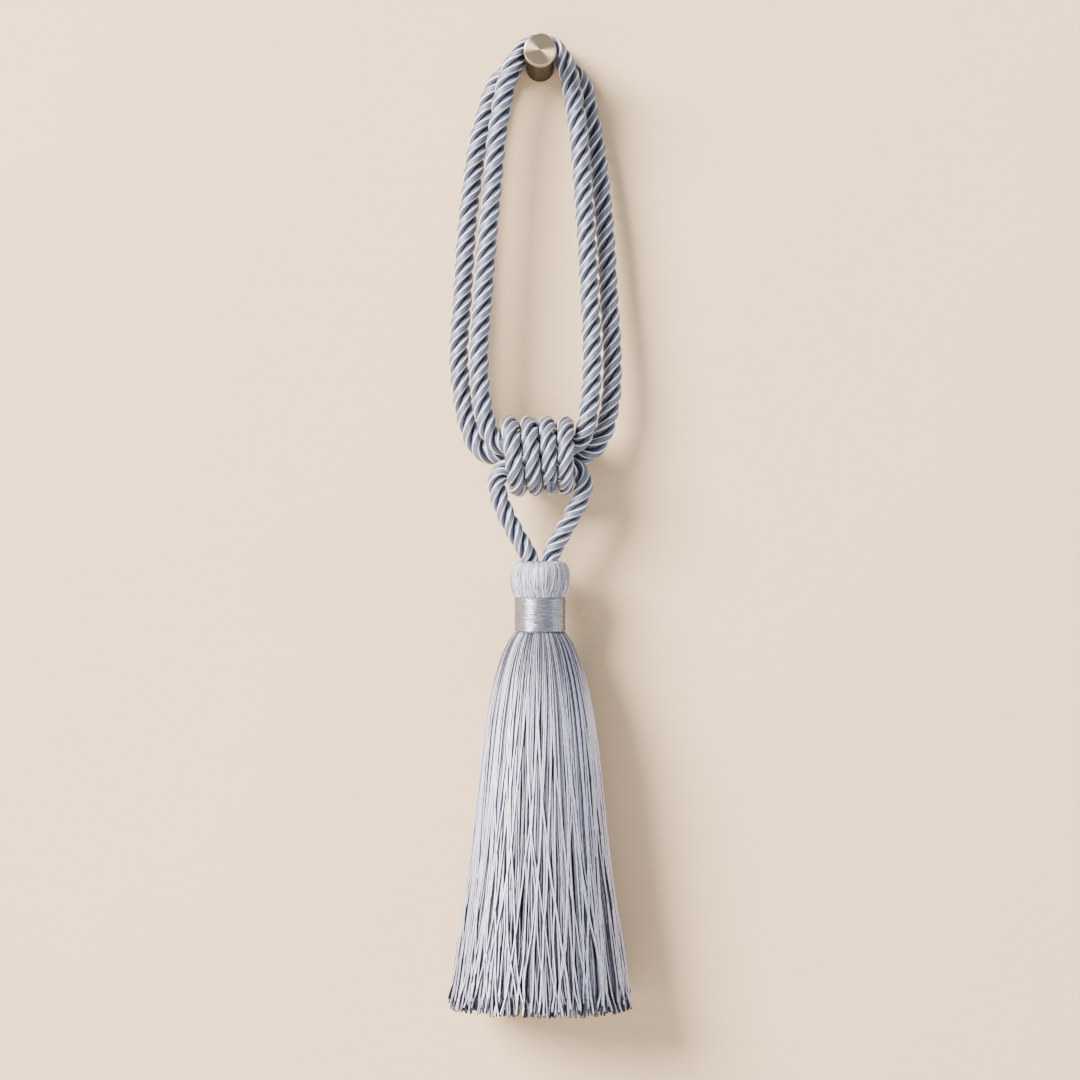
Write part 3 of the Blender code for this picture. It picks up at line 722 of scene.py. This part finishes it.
skirtSizes = {
    "outer": 230, "inner": 440, "core": 260, "innerShell": 0.85, "outerShell": 0.92,
    # the tone of the strands that lie on top is painted light, and their side tone painted shade
    "strandRadius": 0.56, "outerRadius": 0.7, "tipRise": 6.0, "length": 185.0, "overLitTone": 1.2,
    "overSideShade": 0.2, "sway": 0.8, "wander": 2.0, "crossing": 0.5, "lengthWander": 2.8,
    "tipCurl": 1.8, "bends": 24, "sides": 4,
}
headSizes = {
    "threads": 250, "length": 32.0, "strandRadius": 0.29, "sway": 0.8, "wander": 0.7, "crossing": 0.3,
    "bends": 13, "sides": 4,
}
fraySizes = {
    "fibres": 60, "length": 8.0, "strandRadius": 0.14, "wander": 1.2, "bends": 6, "sides": 3,
    "middleX": 5.2, "middleY": -30.0, "lengthWander": 2.2, "tipCurl": 0.8,
}


def shapeCurve(tree, shape, column, share):
    # reads one column of a shape at the share of the fall, in metres
    numbers = [row[column] for row in shape]
    low, high = min(numbers), max(numbers)
    if high - low < 1e-6:
        return mathOf(tree, "MULTIPLY", low * mm, 1.0)
    node = tree.nodes.new("ShaderNodeFloatCurve")
    curve = node.mapping.curves[0]
    while len(curve.points) < len(shape):
        curve.points.new(0.5, 0.5)
    for point, row in zip(curve.points, shape):
        point.location = (row[0], (row[column] - low) / (high - low))
        point.handle_type = "AUTO_CLAMPED"
    node.mapping.update()
    tree.links.new(share, node.inputs["Value"])
    return mathOf(tree, "MULTIPLY_ADD", node.outputs[0], (high - low) * mm, low * mm)


def randomNumber(tree, low, high, seed, ident):
    node = addNode(tree, "FunctionNodeRandomValue", {"data_type": "FLOAT"}, {"Seed": seed, "ID": ident})
    node.inputs[2].default_value = low
    node.inputs[3].default_value = high
    return node.outputs[1]


def storeNumber(tree, geometry, name, value):
    node = addNode(tree, "GeometryNodeStoreNamedAttribute", {"data_type": "FLOAT", "domain": "POINT"},
                   {"Geometry": geometry, "Name": name, "Value": value})
    return node.outputs[0]


def readNumber(tree, name):
    return addNode(tree, "GeometryNodeInputNamedAttribute", {"data_type": "FLOAT"}, {"Name": name}).outputs[0]


def cloudAt(tree, x, y, z=0.0):
    # two uneven numbers round zero that change slowly with the place
    cloud = addNode(tree, "ShaderNodeTexNoise", None,
                    {"Vector": joinXyz(tree, x, y, z), "Scale": 1.0, "Detail": 1.0})
    parts = addNode(tree, "FunctionNodeSeparateColor", None, {"Color": cloud.outputs["Color"]})
    return [mathOf(tree, "MULTIPLY", mathOf(tree, "SUBTRACT", parts.outputs[slot], 0.5), 4.0)
            for slot in (0, 1)]


threadInputs = (
    ("First", "NodeSocketInt", 0), ("Count", "NodeSocketInt", 100), ("Whole Count", "NodeSocketInt", 100),
    ("Shell", "NodeSocketFloat", 0.0), ("Strand Radius", "NodeSocketFloat", 0.0005),
    ("Bends", "NodeSocketInt", 12), ("Sides", "NodeSocketInt", 4),
    ("Sway", "NodeSocketFloat", 0.0), ("Wander", "NodeSocketFloat", 0.0),
    ("Crossing", "NodeSocketFloat", 0.0), ("Length Wander", "NodeSocketFloat", 0.0),
    ("Tip Curl", "NodeSocketFloat", 0.0), ("Tip Rise", "NodeSocketFloat", 0.0),
    ("Middle", "NodeSocketVector", (0.0, 0.0, 0.0)),
    ("Material", "NodeSocketMaterial", None),
)


def startTree(name, inputs):
    tree = bpy.data.node_groups.new(name, "GeometryNodeTree")
    tree.interface.new_socket(name="Geometry", in_out="INPUT", socket_type="NodeSocketGeometry")
    tree.interface.new_socket(name="Geometry", in_out="OUTPUT", socket_type="NodeSocketGeometry")
    names = {}
    for label, kind, value in inputs:
        socket = tree.interface.new_socket(name=label, in_out="INPUT", socket_type=kind)
        if value is not None:
            socket.default_value = value
        names[label] = socket.identifier
    return tree, names, addNode(tree, "NodeGroupInput").outputs


def skinAndPaint(tree, given, curve, size=None):
    # a tube round each curve, with its place round the tube stored for the map
    ring = addNode(tree, "GeometryNodeCurvePrimitiveCircle", None,
                   {"Resolution": given["Sides"], "Radius": given["Strand Radius"]})
    around = addNode(tree, "GeometryNodeSplineParameter").outputs["Factor"]
    profile = storeNumber(tree, ring.outputs[0], "strandAround", around)
    skin = addNode(tree, "GeometryNodeCurveToMesh", None,
                   {"Curve": curve, "Profile Curve": profile, "Fill Caps": True})
    if size is not None and "Scale" in skin.inputs:
        tree.links.new(size, skin.inputs["Scale"])
    # how far each side looks outwards is stored for the painted shade on the strands' inward sides
    normal = addNode(tree, "GeometryNodeInputNormal").outputs[0]
    place = addNode(tree, "GeometryNodeInputPosition").outputs[0]
    apart = vectorOf(tree, "SUBTRACT", place, given["Middle"])
    outwards = vectorOf(tree, "NORMALIZE", vectorOf(tree, "MULTIPLY", apart, (1.0, 1.0, 0.0)))
    facing = addNode(tree, "ShaderNodeVectorMath", {"operation": "DOT_PRODUCT"}, {0: normal, 1: outwards})
    dressed = storeNumber(tree, skin.outputs[0], "strandFacing", facing.outputs["Value"])
    smooth = addNode(tree, "GeometryNodeSetShadeSmooth", None, {"Geometry": dressed})
    real = addNode(tree, "GeometryNodeRealizeInstances", None, {"Geometry": smooth.outputs[0]})
    paint = addNode(tree, "GeometryNodeSetMaterial", None,
                    {"Geometry": real.outputs[0], "Material": given["Material"]})
    result = addNode(tree, "NodeGroupOutput")
    tree.links.new(paint.outputs[0], result.inputs[0])


# the ways of a hanging thread, for the skirt, the head and the frayed end alike
threadWays = {
    "goldenAngle": 2.399963,  # in radians, from one root to the next
    "opening": -0.55,  # the inner strands move outwards as they fall
    "crossFrom": 0.85,  # of the strands, the share that stays below the others
    "overShare": 1.025,
    "crossPower": 1.4,
    "groupAround": 1.9,
    "groupDown": 1.5,
    "singleDown": 4.0,
    "singleApart": 1.37,
    "curlFrom": 0.94,
    "driftPower": 1.2,
    "liftShare": 0.2,  # part of the drift that goes in or out
    "smallestReach": 1.5,
    "wallGap": 0.9,  # no thread comes nearer to the wall
    "rootsEnd": 0.35,
    "rootThickness": 0.5,
    "thinnest": 0.82,
    "thickest": 1.2,
    "rootShadeEnd": 0.22,
    "fullyLit": 0.95,
    "mapShift": 0.37,
}


def threadTree(name, shape):
    tree, names, given = startTree(name, threadInputs)
    number = mathOf(tree, "ADD", addNode(tree, "GeometryNodeInputIndex").outputs[0], given["First"])
    filled = mathOf(tree, "DIVIDE", mathOf(tree, "ADD", number, 0.5), given["Whole Count"])
    filled = mathOf(tree, "SQRT", filled)
    shell = addNode(tree, "ShaderNodeMix", {"data_type": "FLOAT"}, {"Factor": given["Shell"]})
    tree.links.new(filled, shell.inputs[2])
    shell.inputs[3].default_value = 1.0
    dots = addNode(tree, "GeometryNodePoints", None, {"Count": given["Count"]}).outputs[0]
    flow = storeNumber(tree, dots, "strandShare", shell.outputs[0])
    flow = storeNumber(tree, flow, "strandNumber", number)
    line = addNode(tree, "GeometryNodeCurvePrimitiveLine", None, {"End": (0.0, 0.0, -0.001)})
    bends = addNode(tree, "GeometryNodeResampleCurve", None,
                    {"Curve": line.outputs[0], "Count": given["Bends"]})
    each = addNode(tree, "GeometryNodeInstanceOnPoints", None, {"Points": flow, "Instance": bends.outputs[0]})
    real = addNode(tree, "GeometryNodeRealizeInstances", None, {"Geometry": each.outputs[0]})
    along = addNode(tree, "GeometryNodeSplineParameter").outputs["Factor"]
    # bends crowd together near the root and the tip
    eased = mapRange(tree, along, 0.0, 1.0, 0.0, 1.0, True)
    flow = storeNumber(tree, real.outputs[0], "strandFall", eased)
    share, number, fall = (readNumber(tree, label) for label in ("strandShare", "strandNumber", "strandFall"))
    ident = addNode(tree, "FunctionNodeFloatToInt", None, {"Float": number}).outputs[0]
    angle = mathOf(tree, "MULTIPLY", number, threadWays["goldenAngle"])
    # strands near the middle move outwards as the skirt opens
    push = mathOf(tree, "MULTIPLY_ADD", mathOf(tree, "SQRT", fall), threadWays["opening"], 1.0)
    share = mathOf(tree, "POWER", share, push)
    # a few strands lie over the others and slant across them
    crosses = mathOf(tree, "GREATER_THAN", randomNumber(tree, 0.0, 1.0, 21, ident), threadWays["crossFrom"])
    slide = mathOf(tree, "MULTIPLY", crosses, randomNumber(tree, -1.0, 1.0, 22, ident))
    grown = mathOf(tree, "POWER", fall, threadWays["crossPower"])
    slide = mathOf(tree, "MULTIPLY", slide, mathOf(tree, "MULTIPLY", given["Crossing"], grown))
    over = mathOf(tree, "MULTIPLY", crosses, threadWays["overShare"])
    share = mathOf(tree, "MAXIMUM", share, over)
    # neighbours sway together, and each strand wanders by itself
    group = cloudAt(tree, mathOf(tree, "MULTIPLY", mathOf(tree, "COSINE", angle), threadWays["groupAround"]),
                    mathOf(tree, "MULTIPLY", mathOf(tree, "SINE", angle), threadWays["groupAround"]),
                    mathOf(tree, "MULTIPLY", fall, threadWays["groupDown"]))
    single = cloudAt(tree, mathOf(tree, "MULTIPLY", fall, threadWays["singleDown"]),
                     mathOf(tree, "MULTIPLY", number, threadWays["singleApart"]))
    curl = mapRange(tree, fall, threadWays["curlFrom"], 1.0, 0.0, 1.0, True)
    curl = mathOf(tree, "MULTIPLY", curl, given["Tip Curl"])
    tips = [randomNumber(tree, -1.0, 1.0, seed, ident) for seed in (31, 32)]
    # strands lean sideways and hardly in or out, so the face of the skirt stays even
    grow = mathOf(tree, "POWER", fall, threadWays["driftPower"])
    wide, deep = (shapeCurve(tree, shape, column, fall) for column in (1, 2))
    drift = []
    for slot in (0, 1):
        whole = mathOf(tree, "MULTIPLY", group[slot], given["Sway"])
        whole = mathOf(tree, "MULTIPLY_ADD", single[slot], given["Wander"], whole)
        drift.append(mathOf(tree, "MULTIPLY", whole, grow))
    reach = mathOf(tree, "MAXIMUM", wide, threadWays["smallestReach"] * mm)
    angle = mathOf(tree, "ADD", mathOf(tree, "ADD", angle, slide), mathOf(tree, "DIVIDE", drift[0], reach))
    lift = mathOf(tree, "MULTIPLY", mathOf(tree, "DIVIDE", drift[1], reach), threadWays["liftShare"])
    share = mathOf(tree, "ADD", share, lift)
    middle = addNode(tree, "ShaderNodeSeparateXYZ", None, {"Vector": given["Middle"]}).outputs
    x = mathOf(tree, "MULTIPLY", mathOf(tree, "MULTIPLY", wide, share), mathOf(tree, "COSINE", angle))
    x = mathOf(tree, "ADD", mathOf(tree, "MULTIPLY_ADD", tips[0], curl, x), middle[0])
    y = mathOf(tree, "MULTIPLY", mathOf(tree, "MULTIPLY", deep, share), mathOf(tree, "SINE", angle))
    y = mathOf(tree, "ADD", mathOf(tree, "MULTIPLY_ADD", tips[1], curl, y), shapeCurve(tree, shape, 3, fall))
    y = mathOf(tree, "MINIMUM", y, -threadWays["wallGap"] * mm)
    longer = mathOf(tree, "MULTIPLY", randomNumber(tree, -0.5, 0.5, 3, ident), given["Length Wander"])
    # the strands that lie on top end a little higher
    higher = mathOf(tree, "MULTIPLY", crosses, randomNumber(tree, 0.0, 1.0, 23, ident))
    longer = mathOf(tree, "ADD", longer, mathOf(tree, "MULTIPLY", higher, given["Tip Rise"]))
    z = mathOf(tree, "MULTIPLY_ADD", longer, fall, shapeCurve(tree, shape, 4, fall))
    move = addNode(tree, "GeometryNodeSetPosition", None,
                   {"Geometry": flow, "Position": joinXyz(tree, x, y, z)})
    # thinner where the strands crowd together at their roots
    size = mapRange(tree, fall, 0.0, threadWays["rootsEnd"], threadWays["rootThickness"], 1.0, True)
    own = randomNumber(tree, threadWays["thinnest"], threadWays["thickest"], 11, ident)
    size = mathOf(tree, "MULTIPLY", size, own)
    # one corner of each tube looks straight outwards
    spoke = vectorOf(tree, "SUBTRACT", joinXyz(tree, x, y), given["Middle"])
    marked = storeNumber(tree, move.outputs[0], "strandOver", crosses)
    turned = addNode(tree, "GeometryNodeSetCurveNormal", {"mode": "FREE"},
                     {"Curve": marked, "Normal": spoke})
    thick = addNode(tree, "GeometryNodeSetCurveRadius", None, {"Curve": turned.outputs[0], "Radius": size})
    skinAndPaint(tree, given, thick.outputs[0], size)
    return tree, names


def runTree(name, tree, names, values, material):
    host = bpy.data.objects.new(name + "Host", bpy.data.meshes.new(name + "Host"))
    bpy.context.scene.collection.objects.link(host)
    modifier = host.modifiers.new("threads", "NODES")
    modifier.node_group = tree
    for key, value in values.items():
        modifier[names[key]] = value
    modifier[names["Material"]] = material
    depsgraph = bpy.context.evaluated_depsgraph_get()
    depsgraph.update()
    mesh = bpy.data.meshes.new_from_object(host.evaluated_get(depsgraph), depsgraph=depsgraph)
    mesh.name = name
    bpy.data.objects.remove(host, do_unlink=True)
    if not mesh.materials:
        mesh.materials.append(material)
    piece = bpy.data.objects.new(name, mesh)
    bpy.context.scene.collection.objects.link(piece)
    return piece


def readBack(mesh, name):
    numbers = [0.0] * len(mesh.vertices)
    mesh.attributes[name].data.foreach_get("value", numbers)
    return numbers


def finishThreads(piece, length, darkest, lightest, sideShade, rootShade=1.0, overLitTone=None):
    # turns the stored numbers into the yarn map (turns round, cm along) and a tone: each strand has its own,
    # and the sides that look inwards are darkened as painted shade, as far as the given side shade says
    mesh = piece.data
    around, fall, number, facing, over = (
        readBack(mesh, name)
        for name in ("strandAround", "strandFall", "strandNumber", "strandFacing", "strandOver"))
    tones = {}
    for value in set(round(entry) for entry in number):
        tones[value] = darkest + (lightest - darkest) * noise.cell(Vector((value * 1.7, 3.1, 0.5)))
    shades = []
    for value, out, down, above in zip(number, facing, fall, over):
        tone, inner = tones[round(value)], sideShade
        # painted light: the strands that lie on top get one light tone, with their own painted side shade
        if above > 0.5 and overLitTone:
            tone, inner = overLitTone, skirtSizes["overSideShade"]
        # painted shade near the roots, under the band
        tone *= rootShade + (1.0 - rootShade) * smoothStep(0.0, threadWays["rootShadeEnd"], down)
        # painted shade on the sides that look inwards
        shades.append(tone * (inner + (1.0 - inner) * smoothStep(0.0, threadWays["fullyLit"], out)))
    maps = []
    for loop in mesh.loops:
        corner = loop.vertex_index
        maps.append((around[corner] + number[corner] * threadWays["mapShift"], fall[corner] * length))
    for name in ("strandAround", "strandFall", "strandNumber", "strandShare", "strandFacing", "strandOver"):
        if name in mesh.attributes:
            mesh.attributes.remove(mesh.attributes[name])
    addMaps(piece, maps, shades)


threadSockets = (
    # socket, key of the sizes, unit
    ("Sides", "sides", 1), ("Bends", "bends", 1), ("Crossing", "crossing", 1),
    ("Strand Radius", "strandRadius", mm), ("Sway", "sway", mm), ("Wander", "wander", mm),
    ("Length Wander", "lengthWander", mm), ("Tip Curl", "tipCurl", mm), ("Tip Rise", "tipRise", mm),
)


def growThreads(name, grown, sizes, whole, own, material):
    # grown is a tree with its socket names, own has the values that only this piece has
    values = {socket: sizes[key] * unit for socket, key, unit in threadSockets if key in sizes}
    values.update({"Count": whole, "Whole Count": whole, **own})
    return runTree(name, *grown, values, material)


skirtMiddle = (tasselAxis[0] * mm, tasselAxis[1] * mm, 0.0)
skirt = threadTree("skirtStrands", skirtShape)
skirtFirst, skirtPieces = 0, []
skirtWhole = skirtSizes["core"] + skirtSizes["inner"] + skirtSizes["outer"]
# the core and inner strands get darker tones than the outer ones, as painted shade deep in the skirt; the
# last two columns are the painted shade on inward sides and near the roots
for name, part, shell, radius, darkest, lightest, sideShade, rootShade in (
        ("skirtCore", "core", 0.0, "strandRadius", 0.6, 0.8, 0.6, 0.8),
        ("skirtInner", "inner", skirtSizes["innerShell"], "strandRadius", 0.5, 0.9, 0.5, 0.45),
        ("skirtOuter", "outer", skirtSizes["outerShell"], "outerRadius", 0.9, 1.2, 0.22, 0.72)):
    own = {"First": skirtFirst, "Count": skirtSizes[part], "Shell": shell, "Middle": skirtMiddle,
           "Strand Radius": skirtSizes[radius] * mm}
    piece = growThreads(name, skirt, skirtSizes, skirtWhole, own, skirtYarn)
    finishThreads(piece, skirtSizes["length"] * inCm, darkest, lightest, sideShade, rootShade,
                  skirtSizes["overLitTone"])
    skirtFirst += skirtSizes[part]
    skirtPieces.append(piece)
headThreads = growThreads("headThreads", threadTree("headThreads", headShape), headSizes,
                          headSizes["threads"], {"Shell": 1.0, "Middle": skirtMiddle}, headYarn)
finishThreads(headThreads, headSizes["length"] * inCm, darkest=0.9, lightest=1.35, sideShade=0.5)
frayMiddle = (fraySizes["middleX"] * mm, fraySizes["middleY"] * mm, 0.0)
frayedEnd = growThreads("frayedEnd", threadTree("frayedEnd", frayShape), fraySizes,
                        fraySizes["fibres"], {"Middle": frayMiddle}, headYarn)
finishThreads(frayedEnd, fraySizes["length"] * inCm, darkest=0.4, lightest=0.7, sideShade=0.7)
threadPieces = (*skirtPieces, headThreads, frayedEnd)
print("stage: threads", [(piece.name, len(piece.data.polygons)) for piece in threadPieces])


# the plain bodies under the threads of the head and the band, darkened by a tone of painted shade
bodySizes = {"sides": 96, "mapTurns": 40, "tone": 0.45}


def turnedShape(name, profile, axis, material):
    sides = bodySizes["sides"]
    verts, faces, maps = [], [], []
    for radius, z in profile:
        for side in range(sides):
            angle = 2 * math.pi * side / sides
            x, y = axis[0] + radius * math.cos(angle), axis[1] + radius * math.sin(angle)
            verts.append(Vector((x, y, z)) * mm)
    for row in range(len(profile) - 1):
        for side in range(sides):
            following = (side + 1) % sides
            low, high = row * sides, (row + 1) * sides
            faces.append((low + side, high + side, high + following, low + following))
            u0, u1 = side / sides * bodySizes["mapTurns"], (side + 1) / sides * bodySizes["mapTurns"]
            v0, v1 = profile[row][1] * inCm, profile[row + 1][1] * inCm
            maps.extend(((u0, v0), (u0, v1), (u1, v1), (u1, v0)))
    piece = meshObject(name, verts, faces, material)
    addMaps(piece, maps, [bodySizes["tone"]] * len(verts))
    facesOut(piece, True)


turnedShape("tasselHead", headProfile, tasselAxis, headYarn)


# the band: one thread wound round the neck in a close spiral
bandSizes = {
    "top": -267.9, "bottom": -284.2, "radius": 12.32, "threadRadius": 0.33, "turns": 36,
    "bendsPerTurn": 40, "sides": 5, "unevenness": 0.27, "cloudAround": 400.0, "cloudDown": 2500.0,
    "coreRadius": 12.15, "innerRadius": 11.9,
}


def windingTree():
    inputs = (("Turns", "NodeSocketFloat", 30.0), ("Bends Per Turn", "NodeSocketInt", 40),
              ("Coil Radius", "NodeSocketFloat", 0.012), ("Height", "NodeSocketFloat", 0.016),
              ("Unevenness", "NodeSocketFloat", 0.0001), ("Strand Radius", "NodeSocketFloat", 0.0003),
              ("Sides", "NodeSocketInt", 5), ("Middle", "NodeSocketVector", (0.0, 0.0, 0.0)),
              ("Material", "NodeSocketMaterial", None))
    tree, names, given = startTree("bandWinding", inputs)
    coil = addNode(tree, "GeometryNodeCurveSpiral", None,
                   {"Resolution": given["Bends Per Turn"], "Rotations": given["Turns"],
                    "Start Radius": given["Coil Radius"], "End Radius": given["Coil Radius"],
                    "Height": given["Height"]})
    along = addNode(tree, "GeometryNodeSplineParameter").outputs["Factor"]
    flow = storeNumber(tree, coil.outputs[0], "strandFall", along)
    place = addNode(tree, "GeometryNodeInputPosition").outputs[0]
    parts = addNode(tree, "ShaderNodeSeparateXYZ", None, {"Vector": place})
    scales = (bandSizes["cloudAround"], bandSizes["cloudAround"], bandSizes["cloudDown"])
    across = cloudAt(tree, *(mathOf(tree, "MULTIPLY", parts.outputs[axis], scales[axis])
                             for axis in range(3)))
    outwards = vectorOf(tree, "NORMALIZE", joinXyz(tree, parts.outputs[0], parts.outputs[1]))
    uneven = mathOf(tree, "MULTIPLY", across[0], given["Unevenness"])
    push = addNode(tree, "ShaderNodeVectorMath", {"operation": "SCALE"}, {0: outwards, "Scale": uneven})
    offset = vectorOf(tree, "ADD", push.outputs[0], given["Middle"])
    move = addNode(tree, "GeometryNodeSetPosition", None, {"Geometry": flow, "Offset": offset})
    skinAndPaint(tree, given, move.outputs[0])
    return tree, names


winding, windingNames = windingTree()
bandThreads = runTree("bandThreads", winding, windingNames,
                      {"Turns": float(bandSizes["turns"]), "Bends Per Turn": bandSizes["bendsPerTurn"],
                       "Coil Radius": bandSizes["radius"] * mm,
                       "Height": (bandSizes["top"] - bandSizes["bottom"]) * mm,
                       "Unevenness": bandSizes["unevenness"] * mm,
                       "Strand Radius": bandSizes["threadRadius"] * mm, "Sides": bandSizes["sides"],
                       "Middle": (tasselAxis[0] * mm, tasselAxis[1] * mm, bandSizes["bottom"] * mm)},
                      bandThread)


def finishWinding(piece):
    mesh = piece.data
    around, along = (readBack(mesh, name) for name in ("strandAround", "strandFall"))
    length = 2 * math.pi * bandSizes["radius"] * bandSizes["turns"] * inCm
    maps = [(around[loop.vertex_index], along[loop.vertex_index] * length) for loop in mesh.loops]
    for name in ("strandAround", "strandFall", "strandFacing"):
        mesh.attributes.remove(mesh.attributes[name])
    addMaps(piece, maps, [1.0] * len(mesh.vertices))


finishWinding(bandThreads)
inner, core = bandSizes["innerRadius"], bandSizes["coreRadius"]
top, bottom = bandSizes["top"], bandSizes["bottom"]
bandProfile = [(inner, top), (core, top), (core, bottom), (inner, bottom), (inner, top)]
turnedShape("neckBand", bandProfile, tasselAxis, bandThread)
print("stage: head and band", len(bandThreads.data.polygons))


# the knob: a spun face, a bevelled rim and a stem darkened as painted shade
knobSizes = {
    "length": 45.0, "stemRadius": 7.15, "headRadius": 7.9, "headThick": 4.6, "bevel": 0.7,
    "backChamfer": 0.5, "sides": 128, "bevelSteps": 5,
}
knobSurface = {"Metallic": 1.0, "Anisotropic": 0.85, "Anisotropic Rotation": 0.25}
knobLook = {
    "face": (0.475, 0.377, 0.284, 1.0),
    # the stem's dark colour is painted shade on the same metal as the face
    "stem": (0.020, 0.0160, 0.0115, 1.0),
    "ringScale": 4200.0,
    "gloss": (0.3, 0.42),
    "bump": 0.12,
    "bumpDepth": 0.00004,
}


def knobMaterial():
    material, tree, shader = newMaterial("spunNickel", knobSurface)
    place = addNode(tree, "ShaderNodeTexCoord").outputs["Object"]
    parts = addNode(tree, "ShaderNodeSeparateXYZ", None, {"Vector": place}).outputs
    across = mathOf(tree, "SQRT", mathOf(tree, "ADD", mathOf(tree, "MULTIPLY", parts[0], parts[0]),
                                         mathOf(tree, "MULTIPLY", parts[2], parts[2])))
    turned = joinXyz(tree, mathOf(tree, "MULTIPLY", across, knobLook["ringScale"]),
                     mathOf(tree, "MULTIPLY", parts[1], knobLook["ringScale"]))
    rings = addNode(tree, "ShaderNodeTexNoise", {"noise_dimensions": "2D"},
                    {"Vector": turned, "Scale": 1.0, "Detail": 2.0}).outputs[0]
    headStart = -(knobSizes["length"] - knobSizes["headThick"]) * mm
    onStem = mapRange(tree, parts[1], headStart - 0.0001, headStart + 0.0003)
    colour = mixColour(tree, onStem, knobLook["face"], knobLook["stem"])
    tree.links.new(colour, shader.inputs["Base Color"])
    tree.links.new(mapRange(tree, rings, 0.3, 0.7, *knobLook["gloss"]), shader.inputs["Roughness"])
    addBump(tree, shader, rings, knobLook["bump"], knobLook["bumpDepth"])
    tangent = addNode(tree, "ShaderNodeTangent", {"direction_type": "RADIAL", "axis": "Y"})
    tree.links.new(tangent.outputs[0], shader.inputs["Tangent"])
    return material


def makeKnob():
    headBack = knobSizes["length"] - knobSizes["headThick"]
    bevel = knobSizes["bevel"]
    profile = [(0.0, 0.0), (knobSizes["stemRadius"], 0.0), (knobSizes["stemRadius"], headBack - 0.05),
               (knobSizes["stemRadius"] + 0.02, headBack), (knobSizes["headRadius"] - 0.05, headBack + 0.45),
               (knobSizes["headRadius"], headBack + knobSizes["backChamfer"] + 0.05)]
    for step in range(knobSizes["bevelSteps"] + 1):
        angle = math.pi / 2 * step / knobSizes["bevelSteps"]
        profile.append((knobSizes["headRadius"] - bevel * (1 - math.cos(angle)),
                        knobSizes["length"] - bevel * (1 - math.sin(angle))))
    profile += [(knobSizes["headRadius"] - bevel - 0.05, knobSizes["length"]), (0.0, knobSizes["length"])]
    sides = knobSizes["sides"]
    verts, faces = [], []
    for radius, depth in profile:
        for side in range(sides):
            angle = 2 * math.pi * side / sides
            verts.append((radius * math.cos(angle) * mm, -depth * mm, radius * math.sin(angle) * mm))
    for row in range(len(profile) - 1):
        for side in range(sides):
            following = (side + 1) % sides
            low, high = row * sides, (row + 1) * sides
            faces.append((low + side, low + following, high + following, high + side))
    piece = meshObject("wallKnob", verts, faces, knobMaterial())
    facesOut(piece, True)
    piece.data.set_sharp_from_angle(angle=math.radians(50.0))


makeKnob()
print("stage: knob")


# hand over to the frame: what each piece replaces and its finish
handOver = {
    "wallKnob": ("wall_knob", "knob_metal"),
    "loopRopeFront": ("loop_rope_front", "rope_yarn"),
    "loopRopeBack": ("loop_rope_back", "rope_yarn"),
    "wrapRope": ("wrap_rope", "rope_yarn"),
    "frayedEnd": ("wrap_rope", "rope_yarn"),
    "hangingCord": ("hanging_cord", "rope_yarn"),
    "tasselHead": ("tassel_yarn", "tassel_yarn"),
    "headThreads": ("tassel_yarn", "tassel_yarn"),
    "skirtCore": ("tassel_yarn", "tassel_yarn"),
    "skirtInner": ("tassel_yarn", "tassel_yarn"),
    "skirtOuter": ("tassel_yarn", "tassel_yarn"),
    "neckBand": ("neck_band", "band_thread"),
    "bandThreads": ("neck_band", "band_thread"),
}
for name, (solid, finish) in handOver.items():
    piece = bpy.data.objects[name]
    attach(piece, "root")
    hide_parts(solid)
cords = {"loopRopeFront": 2 * ropeSizes["radius"], "loopRopeBack": 2 * ropeSizes["radius"],
         "hangingCord": 2 * ropeSizes["cordRadius"]}
for name, diameter in cords.items():
    piece, path, length = ropes[name]

print("stage: hand over")
